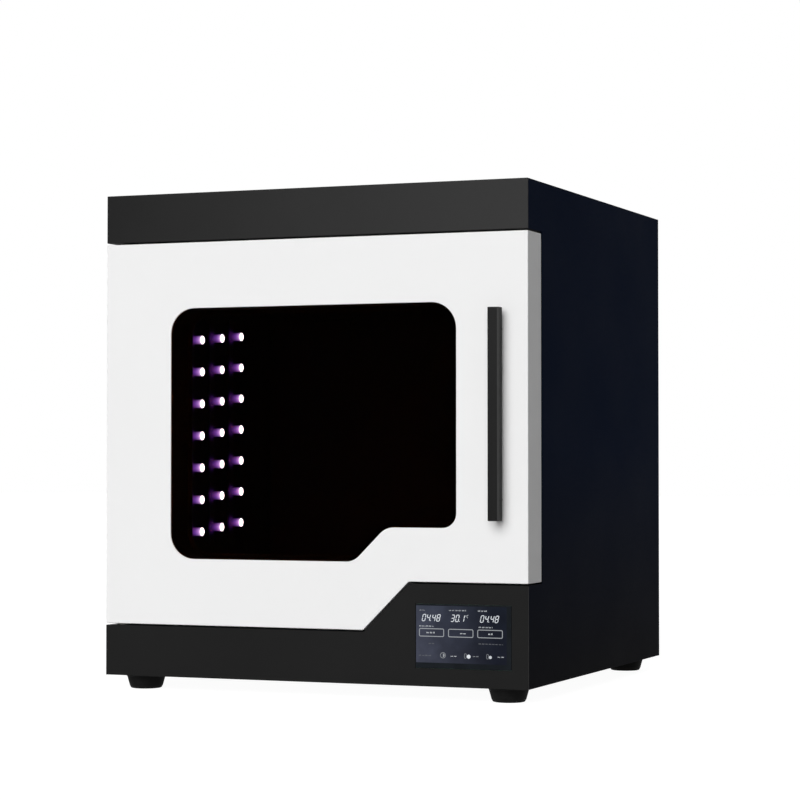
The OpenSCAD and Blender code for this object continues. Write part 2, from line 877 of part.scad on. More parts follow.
// The geared motor: a gearbox with its boss, and the can below it.
module turntable_motor() {
    top = bracket_z - bracket_t;
    gear_l = 24;
    color(c_steel) placed() translate([0, table_y, 0]) difference() {
        union() {
            translate([0, 0, top - gear_l]) cylinder(d = motor_d, h = gear_l, $fn = 64);
            translate([0, 0, top - motor_l]) cylinder(d = motor_d - 3, h = motor_l - gear_l, $fn = 64);
            translate([0, 0, top]) cylinder(d = motor_boss_d(), h = boss_h, $fn = 48);
        }
        translate([0, 0, top + boss_h - shaft_in_motor - seat_gap])
            cylinder(d = shaft_d + 2 * run_fit, h = shaft_in_motor + 1, $fn = 48);
    }
}

// The hub under the turntable with its shaft, turned in one piece.
module turntable_hub() {
    shaft_z0 = bracket_z - bracket_t + boss_h - shaft_in_motor;
    color(c_steel) placed() translate([0, table_y, 0]) {
        translate([0, 0, shaft_z0]) cylinder(d = shaft_d, h = hub_z - shaft_z0 + 1, $fn = 48);
        translate([0, 0, hub_z]) cylinder(d = hub_d, h = hub_t, $fn = 64);
        translate([0, 0, hub_z + hub_t]) cylinder(d = shaft_d, h = table_t, $fn = 48);
    }
}

// The clear disc that the work stands on.
module turntable_plate() {
    color(c_amber) placed() translate([0, table_y, table_z]) difference() {
        cylinder(d = table_d, h = table_t, $fn = 96);
        translate([0, 0, -1]) cylinder(d = shaft_d + 2 * run_fit, h = table_t + 2, $fn = 48);
    }
}

// Fan

module fan_screw_holes(d, y0, y1) {
    for (sx = [-1, 1], sz = [-1, 1]) {
        rod_y(fan_x + sx * fan_hole_pitch / 2, fan_z + sz * fan_hole_pitch / 2, y0, y1, d);
    }
}

fan_y0 = rear_y - fan_t;

// The fan's frame, with the cup for its motor on four struts.
module fan_frame() {
    strut_t = 4;
    strut_w = 3;
    color(c_black) placed() difference() {
        union() {
            difference() {
                block([fan_x - fan_w / 2, fan_y0, fan_z - fan_w / 2],
                      [fan_x + fan_w / 2, rear_y, fan_z + fan_w / 2]);
                rod_y(fan_x, fan_z, fan_y0 - 1, rear_y + 1, fan_bore);
            }
            intersection() {
                rod_y(fan_x, fan_z, fan_y0, fan_y0 + strut_t, fan_bore + 1);
                union() {
                    for (a = [45, 135]) {
                        translate([fan_x, fan_y0, fan_z]) rotate([0, a, 0])
                            translate([-fan_w / 2, 0, -strut_w / 2]) cube([fan_w, strut_t, strut_w]);
                    }
                }
            }
            rod_y(fan_x, fan_z, fan_y0, fan_y0 + fan_cup_t, fan_hub_d - 4);
            rod_y(fan_x, fan_z, fan_y0, fan_y0 + fan_spindle_l, fan_spindle_d);
        }
        fan_screw_holes(screw_d + 2 * slip_fit, fan_y0 - 1, rear_y + 1);
    }
}

// The fan's rotor: a hub cup that turns on the frame's spindle, and slanted blades.
module fan_rotor() {
    cup_y0 = fan_y0 + fan_cup_t + seat_gap;
    cup_y1 = rear_y - 3;
    blade_t = 1.5;
    blade_w = 20;
    blade_y = (cup_y0 + cup_y1) / 2;
    tip_d = fan_bore - 4;
    color(c_black) placed() {
        difference() {
            rod_y(fan_x, fan_z, cup_y0, cup_y1, fan_hub_d);
            rod_y(fan_x, fan_z, cup_y0 - 1, fan_y0 + fan_spindle_l + seat_gap,
                  fan_spindle_d + 2 * run_fit);
        }
        intersection() {
            difference() {
                rod_y(fan_x, fan_z, cup_y0, cup_y1, tip_d);
                rod_y(fan_x, fan_z, cup_y0 - 1, cup_y1 + 1, fan_hub_d - 1);
            }
            union() {
                for (i = [0:fan_blades - 1]) {
                    translate([fan_x, blade_y, fan_z]) rotate([0, i * 360 / fan_blades, 0])
                        rotate([0, 0, 40]) translate([-blade_w / 2, -blade_t / 2, fan_hub_d / 2 - 2])
                        cube([blade_w, blade_t, fan_w / 2]);
                }
            }
        }
    }
}

// The wire guard outside: a cross on the panel, rings on the cross and an eye at each corner.
module fan_guard() {
    wire_d = guard_out / 2;
    rings = 4;
    eye_d = 8;
    reach = fan_hole_pitch / sqrt(2);
    color(c_steel) placed() difference() {
        union() {
            for (i = [1:rings]) {
                translate([fan_x, case_d + 1.5 * wire_d, fan_z]) rotate([90, 0, 0])
                    rotate_extrude($fn = 48)
                    translate([fan_bore / 2 * i / rings - wire_d, 0]) circle(d = wire_d, $fn = 16);
            }
            for (a = [45, 135]) {
                translate([fan_x, case_d + 0.55 * wire_d, fan_z]) rotate([0, a, 0])
                    translate([0, 0, -reach]) cylinder(d = wire_d, h = 2 * reach, $fn = 16);
            }
            fan_screw_holes(eye_d, case_d, case_d + wire_d);
        }
        fan_screw_holes(screw_d + 2 * slip_fit, case_d - 1, case_d + guard_out + 1);
    }
}

// Four screws through the guard, the panel and the fan's frame, each with its nut.
module fan_screws() {
    wire_d = guard_out / 2;
    nut_t = 2.4;
    color(c_steel) placed() {
        fan_screw_holes(screw_head_d, case_d + wire_d, case_d + wire_d + screw_head_t);
        fan_screw_holes(screw_d, fan_y0 - nut_t - 1, case_d + wire_d);
        fan_screw_holes(screw_head_d, fan_y0 - nut_t, fan_y0);
    }
}

// Rear panel fasteners

rear_screw_side = 8;
rear_screw_end = 30;

function rear_screw_places() =
    [for (s = [-1, 1], k = [0:3])
        [s * (hw - rear_screw_side), rear_screw_end + k * (case_h - 2 * rear_screw_end) / 3]];

module rear_screw_rods(d, y0, y1) {
    for (p = rear_screw_places()) {
        rod_y(p[0], p[1], y0, y1, d);
    }
}

module rear_screw_holes() {
    rear_screw_rods(screw_d + 2 * slip_fit, rear_y - skin - 1, case_d + 1);
}

module rear_screws() {
    color(c_steel) placed() {
        rear_screw_rods(screw_head_d, case_d, case_d + screw_head_t);
        rear_screw_rods(screw_d, rear_y - skin - 3, case_d);
    }
}

// Mains inlet with its fuse drawer

socket_w = 24.5;
socket_h = 16.5;
socket_l = 16;
socket_z = inlet_z + 7;
drawer_w = 22;
drawer_h = 8;
drawer_z = inlet_z - 13;
flange_y = case_d + inlet_flange_t;

// The inlet's body: a flange on the panel, a socket with cut corners and the drawer's pocket.
module mains_inlet() {
    cut = 4.5;
    color(c_black) placed() difference() {
        union() {
            block([inlet_x - inlet_w / 2, case_d - inlet_l, inlet_z - inlet_h / 2],
                  [inlet_x + inlet_w / 2, case_d, inlet_z + inlet_h / 2]);
            block([inlet_x - inlet_flange_w / 2, case_d, inlet_z - inlet_h / 2 - 2],
                  [inlet_x + inlet_flange_w / 2, flange_y, inlet_z + inlet_h / 2 + 2]);
        }
        translate([inlet_x, 0, socket_z]) along_y(flange_y - socket_l, flange_y + 1)
            polygon([[-socket_w / 2, -socket_h / 2], [socket_w / 2, -socket_h / 2],
                [socket_w / 2, socket_h / 2 - cut], [socket_w / 2 - cut, socket_h / 2],
                [cut - socket_w / 2, socket_h / 2], [-socket_w / 2, socket_h / 2 - cut]]);
        block([inlet_x - drawer_w / 2 - slip_fit, flange_y - fuse_l - seat_gap,
               drawer_z - drawer_h / 2 - slip_fit],
              [inlet_x + drawer_w / 2 + slip_fit, flange_y + 1,
               drawer_z + drawer_h / 2 + slip_fit]);
    }
}

// The three contacts of the inlet, standing on the floor of its socket.
module inlet_pins() {
    pin_l = 12;
    pin_w = 2;
    pin_h = 4;
    pin_pitch = 14;
    color(c_brass) placed() for (p = [[-pin_pitch / 2, -2], [0, 2], [pin_pitch / 2, -2]]) {
        translate([inlet_x + p[0] - pin_w / 2, flange_y - socket_l, socket_z + p[1] - pin_h / 2])
            cube([pin_w, pin_l, pin_h]);
    }
}

// The fuse drawer, with the groove that a fingernail pulls.
module fuse_drawer() {
    groove = 2;
    face_t = 1;
    color(c_black) placed() difference() {
        block([inlet_x - drawer_w / 2, flange_y - fuse_l, drawer_z - drawer_h / 2],
              [inlet_x + drawer_w / 2, flange_y + face_t, drawer_z + drawer_h / 2]);
        block([inlet_x - drawer_w / 2 + 2, flange_y - fuse_l + 2, drawer_z - drawer_h / 2 + 1.5],
              [inlet_x + drawer_w / 2 - 2, flange_y - 5, drawer_z + drawer_h / 2 + 1]);
        block([inlet_x - 6, flange_y - 0.5, drawer_z - drawer_h / 2 + 1.5],
              [inlet_x + 6, flange_y + face_t + 1, drawer_z - drawer_h / 2 + 1.5 + groove]);
    }
}

// Power switch

switch_w = rocker_w + 6;
switch_h = 2 * rocker_r + 6;
rocker_pin_d = 2;

// The switch's body with its well and the two holes that the rocker turns in.
module switch_housing() {
    flange = 2;
    flange_t = 1.5;
    color(c_black) placed() difference() {
        union() {
            block([switch_x - switch_w / 2, case_d - 22, inlet_z - switch_h / 2],
                  [switch_x + switch_w / 2, case_d, inlet_z + switch_h / 2]);
            block([switch_x - switch_w / 2 - flange, case_d, inlet_z - switch_h / 2 - flange],
                  [switch_x + switch_w / 2 + flange, case_d + flange_t, inlet_z + switch_h / 2 + flange]);
        }
        block([switch_x - rocker_w / 2 - seat_gap, rocker_pivot_y - 7, inlet_z - rocker_r - sweep_fit],
              [switch_x + rocker_w / 2 + seat_gap, case_d + flange_t + 1, inlet_z + rocker_r + sweep_fit]);
        translate([switch_x - switch_w / 2 + 1, rocker_pivot_y, inlet_z]) rotate([0, 90, 0])
            cylinder(d = rocker_pin_d + 2 * run_fit, h = switch_w - 2, $fn = 32);
    }
}

// The rocker at rest, tilted one way, with the two pins that it turns on.
module power_rocker() {
    pin_l = 1.6;
    color(c_black) placed() translate([switch_x, rocker_pivot_y, inlet_z]) rotate([-rocker_tilt, 0, 0]) {
        intersection() {
            translate([-rocker_w / 2, 0, 0]) rotate([0, 90, 0])
                cylinder(r = rocker_r, h = rocker_w, $fn = 64);
            translate([-rocker_w / 2, 0, 0]) rotate([90, 0, 90]) linear_extrude(rocker_w)
                polygon([[-3.5, -rocker_r], [1.8, -rocker_r], [2.8, 0], [1.8, rocker_r], [-3.5, rocker_r]]);
        }
        translate([-rocker_w / 2 - pin_l, 0, 0]) rotate([0, 90, 0])
            cylinder(d = rocker_pin_d, h = rocker_w + 2 * pin_l, $fn = 32);
    }
}

// Catch, switch and probe

catch_nose_w = 8;
catch_nose_h = 30;

// The magnetic catch: its body behind the frame and its pole face in the frame's opening.
module magnetic_catch() {
    color(c_black) placed() {
        block([catch_x - catch_w / 2, cav_y0, catch_z - catch_h / 2],
              [catch_x + catch_w / 2, cav_y0 + catch_d, catch_z + catch_h / 2]);
        block([catch_x - catch_nose_w / 2, door_t + strike_t + seat_gap, catch_z - catch_nose_h / 2],
              [catch_x + catch_nose_w / 2, cav_y0, catch_z + catch_nose_h / 2]);
    }
}

// The steel plate on the door that the catch pulls.
module strike_plate() {
    color(c_steel) placed()
        block([catch_x - strike_w / 2, door_t, catch_z - strike_h / 2],
              [catch_x + strike_w / 2, door_t + strike_t, catch_z + strike_h / 2]);
}

// The magnet inside the door that closes the reed switch.
module door_magnet() {
    color(c_steel) placed()
        rod_y(catch_x, reed_z, door_t - door_skin - magnet_t, door_t - door_skin, magnet_d);
}

module reed_switch() {
    color(c_nylon) placed()
        block([catch_x - reed_w / 2, cav_y0, reed_z - reed_h / 2],
              [catch_x + reed_w / 2, cav_y0 + reed_d, reed_z + reed_h / 2]);
}

// The steel probe through the chamber's rear sheet, with its collar and its boot.
module temperature_probe() {
    reach = 14;
    color(c_steel) placed() {
        rod_y(probe_x, probe_z, cav_y1 - reach, cav_y1 + liner_t + 12, probe_d);
        rod_y(probe_x, probe_z, cav_y1 + liner_t, cav_y1 + liner_t + 4, probe_d + 5);
    }
}

// Hinge

// A round cutter on the hinge axis.
module hinge_hole(d, z0, z1) {
    translate([pivot_x, pivot_y, z0]) cylinder(d = d, h = z1 - z0, $fn = 48);
}

// Two flanged bushes: the lower one carries the door on its flange.
module hinge_bushes() {
    flange_t = door_gap - seat_gap;
    color(c_nylon) placed() {
        difference() {
            union() {
                hinge_hole(bush_od, base_h - bush_l, base_h);
                hinge_hole(bush_flange_d, base_h, base_h + flange_t);
            }
            hinge_hole(pin_d + 2 * run_fit, base_h - bush_l - 1, base_h + flange_t + 1);
        }
        difference() {
            union() {
                hinge_hole(bush_od, band_z, band_z + bush_l);
                hinge_hole(bush_flange_d, band_z + skin, band_z + skin + flange_t);
            }
            hinge_hole(pin_d + 2 * run_fit, band_z - 1, band_z + bush_l + 1);
        }
    }
}

// The two blocks in the door's hollow that hold the pins.
module hinge_blocks() {
    half = pivot_x + hw - door_skin;
    color(c_steel) placed() difference() {
        for (z = [door_z0 + door_skin, door_z1 - door_skin - hinge_block_h]) {
            block([pivot_x - half, pivot_y - half, z], [pivot_x + half, pivot_y + half, z + hinge_block_h]);
        }
        hinge_hole(pin_d + 2 * run_fit, 0, case_h);
    }
}

module hinge_pins() {
    in_block = door_skin + hinge_block_h - 2;
    color(c_steel) placed() {
        hinge_hole(pin_d, base_h - pin_reach, door_z0 + in_block);
        hinge_hole(pin_d, door_z1 - in_block, band_z + pin_reach);
    }
}

// Door

function handle_post_z() = [handle_z + post_inset, handle_z + handle_l - post_inset];

// The folded white door: its face and four sides, open at the rear.
module door_shell() {
    panel_y = door_t - door_skin;
    color(c_white) placed() difference() {
        door_block(door_gap, 0, 0, panel_y);
        door_block(door_gap + door_skin, door_skin, door_skin, panel_y + 1);
        along_y(-1, door_skin + 1) window_outline(0);
        for (z = handle_post_z()) {
            rod_y(handle_x, z, -1, door_skin + 1, handle_screw_d + 2 * slip_fit);
        }
        hinge_hole(pin_d + 2 * seat_gap, door_z0 - 1, door_z0 + door_skin + 1);
        hinge_hole(pin_d + 2 * seat_gap, door_z1 - door_skin - 1, door_z1 + 1);
    }
}

// The sheet that closes the door's rear, with an opening a little smaller than the window.
module door_back_panel() {
    color(c_inside) placed() difference() {
        door_block(door_gap, 0, door_t - door_skin, door_t);
        along_y(door_t - door_skin - 1, door_t + 1) window_outline(panel_lip);
    }
}

// The amber pane: its face in the door's opening and its flange behind the door's skin.
module window_pane() {
    flange_y = door_skin + seat_gap;
    color(c_amber) placed() {
        along_y(pane_in, flange_y) window_outline(glass_fit);
        along_y(flange_y, pane_y1) window_outline(-pane_flange);
    }
}

// The rubber ring behind the pane's flange.
module window_gasket() {
    color(c_rubber) placed() window_ring(-pane_flange, 0, pane_y1, pane_y1 + gasket_t);
}

// The black surround that lines the door's thickness round the window.
module window_surround() {
    flange_t = 2;
    color(c_inside) placed() {
        window_ring(-pane_flange - 2, 0, surround_y0, surround_y0 + flange_t);
        window_ring(-surround_t, 0, surround_y0 + flange_t, door_t - door_skin);
    }
}

// The foam seal on the door's rear that meets the frame round the chamber's mouth.
module door_seal() {
    x1 = mouth_w / 2 + seal_side;
    color(c_rubber) placed() along_y(door_t, door_t + seal_t) difference() {
        translate([-x1 - seal_w, mouth_z0 - seal_side - seal_w])
            square([2 * (x1 + seal_w), mouth_z1 - mouth_z0 + 2 * (seal_side + seal_w)]);
        translate([-x1, mouth_z0 - seal_side])
            square([2 * x1, mouth_z1 - mouth_z0 + 2 * seal_side]);
    }
}

// The square bar of the handle, with its edges broken.
module handle_bar() {
    c = 0.6;
    x1 = handle_w / 2;
    y0 = -handle_gap - handle_t;
    color(c_black) placed() difference() {
        translate([handle_x, y0, handle_z]) linear_extrude(handle_l)
            polygon([[c - x1, 0], [x1 - c, 0], [x1, c], [x1, handle_t - c], [x1 - c, handle_t],
                [c - x1, handle_t], [-x1, handle_t - c], [-x1, c]]);
        for (z = handle_post_z()) {
            rod_y(handle_x, z, -handle_gap - 5, 1, handle_screw_d + 2 * slip_fit);
        }
    }
}

// The two posts that hold the bar off the door.
module handle_posts() {
    color(c_black) placed() difference() {
        for (z = handle_post_z()) {
            rod_y(handle_x, z, -handle_gap, 0, post_d);
        }
        for (z = handle_post_z()) {
            rod_y(handle_x, z, -handle_gap - 1, 1, handle_screw_d + 2 * slip_fit);
        }
    }
}

// The two screws from inside the door through the posts into the bar.
module handle_screws() {
    color(c_steel) placed() for (z = handle_post_z()) {
        rod_y(handle_x, z, -handle_gap - 4, door_skin, handle_screw_d);
        rod_y(handle_x, z, door_skin, door_skin + 2, handle_screw_d + 3);
    }
}

side_panel_left();
side_panel_right();
top_cover();
top_fascia();
base_fascia();
base_pan();
rear_panel();
front_frame();
chamber_wall_left();
chamber_wall_right();
chamber_back();
chamber_ceiling();
chamber_floor();
floor_rails();
lamp_boards_left();
lamp_boards_right();
lamps_left();
lamps_right();
display_glass();
display_module();
display_bracket();
control_board();
board_standoffs();
power_supply();
lamp_driver();
turntable_motor();
motor_bracket();
turntable_bush();
fan_frame();
fan_guard();
mains_inlet();
inlet_pins();
switch_housing();
feet();
foot_screws();
rear_screws();
fan_screws();
magnetic_catch();
reed_switch();
temperature_probe();
hinge_bushes();
door_shell();
door_back_panel();
window_pane();
window_gasket();
window_surround();
door_seal();
handle_bar();
handle_posts();
handle_screws();
hinge_blocks();
hinge_pins();
strike_plate();
door_magnet();
turntable_plate();
turntable_hub();
fan_rotor();
power_rocker();
fuse_drawer();
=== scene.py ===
"""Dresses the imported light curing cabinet: sheet metal, door, window, lamps and display.

Shapes are worked out in millimetres from the middle of the base pan's lower front edge
(X right, Y to the rear, Z up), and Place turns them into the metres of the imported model.
"""

import json
import logging
import math
from dataclasses import dataclass
from enum import Enum
from typing import Sequence

import bmesh
import bpy
import numpy as np
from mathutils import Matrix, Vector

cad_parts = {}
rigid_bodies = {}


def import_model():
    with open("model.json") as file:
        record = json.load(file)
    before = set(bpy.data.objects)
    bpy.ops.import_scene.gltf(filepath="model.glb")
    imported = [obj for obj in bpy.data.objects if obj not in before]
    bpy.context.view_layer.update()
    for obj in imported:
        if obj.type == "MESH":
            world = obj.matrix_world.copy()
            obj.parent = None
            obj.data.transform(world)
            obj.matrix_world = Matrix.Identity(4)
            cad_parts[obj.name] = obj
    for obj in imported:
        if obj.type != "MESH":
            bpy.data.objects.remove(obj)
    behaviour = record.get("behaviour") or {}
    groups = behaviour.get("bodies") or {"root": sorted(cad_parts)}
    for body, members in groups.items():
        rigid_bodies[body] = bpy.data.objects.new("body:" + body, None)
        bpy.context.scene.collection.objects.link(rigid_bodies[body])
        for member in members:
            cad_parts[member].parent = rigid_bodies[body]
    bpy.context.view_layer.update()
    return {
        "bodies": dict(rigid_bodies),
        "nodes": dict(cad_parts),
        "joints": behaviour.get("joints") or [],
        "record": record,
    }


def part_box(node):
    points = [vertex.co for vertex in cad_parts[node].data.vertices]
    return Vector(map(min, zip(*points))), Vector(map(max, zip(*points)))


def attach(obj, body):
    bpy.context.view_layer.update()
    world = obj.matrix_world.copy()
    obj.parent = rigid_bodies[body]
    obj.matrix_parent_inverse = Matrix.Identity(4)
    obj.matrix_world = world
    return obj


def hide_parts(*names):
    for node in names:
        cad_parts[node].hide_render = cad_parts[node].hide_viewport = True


LOG = logging.getLogger("cabinet")
Array = np.ndarray
Colour = tuple[float, float, float]
Pair = tuple[float, float]
Triple = tuple[float, float, float]

MM = 0.001                          # a millimetre in metres
SHARP_ANGLE = math.radians(35)      # a larger angle between faces stays sharp
FLAT_ANGLE = math.radians(0.5)      # a smaller one is taken as flat
WELD = 2e-6                         # points closer than this are one, in metres
SPECK = 1e-7                        # an edge shorter than this is removed, in metres
HOLD = 0.25                         # flat strip kept beside a rounded edge, in millimetres
HOLD_SHARE = 0.3                    # the most of a straight run that such a strip takes
LEAST_RADIUS = 0.02                 # least radius of a corner after an inset, in millimetres
POLE = 0.001                        # radius that closes a turned shape on its axis
MIDDLE = (0.3, 0.7)                 # the range in which noise mostly lies


class Body(Enum):
    """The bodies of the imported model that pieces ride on."""

    CABINET = "cabinet"
    DOOR = "door"
    TURNTABLE = "turntable"
    ROTOR = "fan_rotor"
    ROCKER = "power_rocker"
    DRAWER = "fuse_drawer"


class Plane(Enum):
    """Which axes an outline's two directions and its depth run along."""

    FRONT = (0, 2, 1)
    SIDE = (1, 2, 0)
    PLAN = (0, 1, 2)


@dataclass(frozen=True)
class Place:
    """Where the case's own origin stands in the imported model, in metres."""

    front: float
    foot: float

    def metres(self, points: Array) -> Array:
        """Returns case millimetres as metres of the model."""
        return np.asarray(points, float) * MM + np.array([0.0, self.front, self.foot])


def placed(points: Array, plane: Plane) -> Array:
    """Puts points of (across, up, depth) on the model's axes.

    Args:
        points: array of (..., 3) with across, up and depth.
        plane: the plane that across and up lie in.

    Returns:
        The same points as X, Y and Z.
    """
    out = np.empty_like(points)
    for source, target in enumerate(plane.value):
        out[..., target] = points[..., source]
    return out


@dataclass(frozen=True)
class Outline:
    """A closed outline, counter-clockwise, whose corners are rounded by their radii."""

    corners: tuple[Pair, ...]
    radii: tuple[float, ...]
    side: int = 3
    bend: int = 6

    def ring(self, inset: float = 0.0) -> Array:
        """Offsets the outline inwards and samples it.

        A corner v moves to v + inset * m, with m = (na + nb) / (1 + na . nb) for the
        inward normals of its two sides. Its arc has the radius q = r - inset, where r is
        negative at a hollow corner, and turns from na to nb about v + (inset + q) * m. A
        straight run has a short part of HOLD at each end and equal parts between them.

        Args:
            inset: distance inwards, negative for outwards.

        Returns:
            Points of (K, 2), the same number for every inset.
        """
        v = np.array(self.corners, float)
        ahead = np.roll(v, -1, 0) - v
        ahead /= np.linalg.norm(ahead, axis=1, keepdims=True)
        back = np.roll(ahead, 1, 0)
        na = np.stack([-back[:, 1], back[:, 0]], 1)
        nb = np.stack([-ahead[:, 1], ahead[:, 0]], 1)
        m = (na + nb) / (1 + (na * nb).sum(1))[:, None]
        turn = np.arctan2(back[:, 0] * ahead[:, 1] - back[:, 1] * ahead[:, 0],
                          (back * ahead).sum(1))
        r = np.sign(turn) * np.array(self.radii) - inset
        r = np.where(turn > 0, np.maximum(r, LEAST_RADIUS), np.minimum(r, -LEAST_RADIUS))
        centre = v + (inset + r)[:, None] * m
        t = np.linspace(0, 1, self.bend + 1)
        angle = np.arctan2(na[:, 1], na[:, 0])[:, None] + turn[:, None] * t
        arc = centre[:, None] - r[:, None, None] * np.stack([np.cos(angle), np.sin(angle)], 2)
        start, stop = arc[:, -1:], np.roll(arc[:, :1], -1, 0)
        if self.side < 2:
            return arc.reshape(-1, 2)
        length = np.linalg.norm(stop - start, axis=2, keepdims=True)
        hold = np.minimum(HOLD / length, HOLD_SHARE)
        s = hold + (1 - 2 * hold) * np.linspace(0, 1, self.side)[None, :, None]
        return np.concatenate([arc, start + (stop - start) * s], 1).reshape(-1, 2)


def rectangle(x0: float, x1: float, z0: float, z1: float, radius: float = 0.3,
              side: int = 3, bend: int = 4) -> Outline:
    """Returns the outline of a rectangle with four rounded corners."""
    return Outline(((x0, z0), (x1, z0), (x1, z1), (x0, z1)), (radius,) * 4, side, bend)


@dataclass(frozen=True)
class Disc:
    """A circle sampled at given angles, so that it can be paired with another outline."""

    x: float
    z: float
    radius: float
    angles: Array

    def ring(self, inset: float = 0.0) -> Array:
        """Returns the circle of radius less inset as points of (K, 2)."""
        r = self.radius - inset
        return np.stack([self.x + r * np.cos(self.angles), self.z + r * np.sin(self.angles)], 1)


def disc(x: float, z: float, radius: float, count: int = 32) -> Disc:
    """Returns a circle of evenly spaced points."""
    return Disc(x, z, radius, np.arange(count) * 2 * math.pi / count)


def disc_in(outline: Outline, x: float, z: float, radius: float) -> Disc:
    """Returns a circle whose points stand at the angles of an outline round it."""
    ring = outline.ring()
    return Disc(x, z, radius, np.arctan2(ring[:, 1] - z, ring[:, 0] - x))


def rounding(edge: float, w0: float, w1: float, steps: int = 4) -> list[Pair]:
    """Gives the section of a plate's rim with both edges rounded.

    Each quarter circle runs from (edge, w0) to (0, w0 + edge): inset edge * (1 - sin a) and
    depth w0 + edge * (1 - cos a) for a from 0 to 90 degrees, mirrored at w1.

    Args:
        edge: radius of the two edges.
        w0: depth of the first face.
        w1: depth of the second face.
        steps: segments in a quarter circle.

    Returns:
        Pairs of inset and depth from the first face over the rim to the second.
    """
    a = np.linspace(0, math.pi / 2, steps + 1)
    sign = 1.0 if w1 > w0 else -1.0
    first = np.stack([edge * (1 - np.sin(a)), w0 + sign * edge * (1 - np.cos(a))], 1)
    last = np.stack([edge * (1 - np.sin(a)), w1 - sign * edge * (1 - np.cos(a))], 1)[::-1]
    hold0, hold1 = [[edge + HOLD, w0]], [[edge + HOLD, w1]]
    return [tuple(p) for p in np.concatenate([hold0, first, last, hold1])]


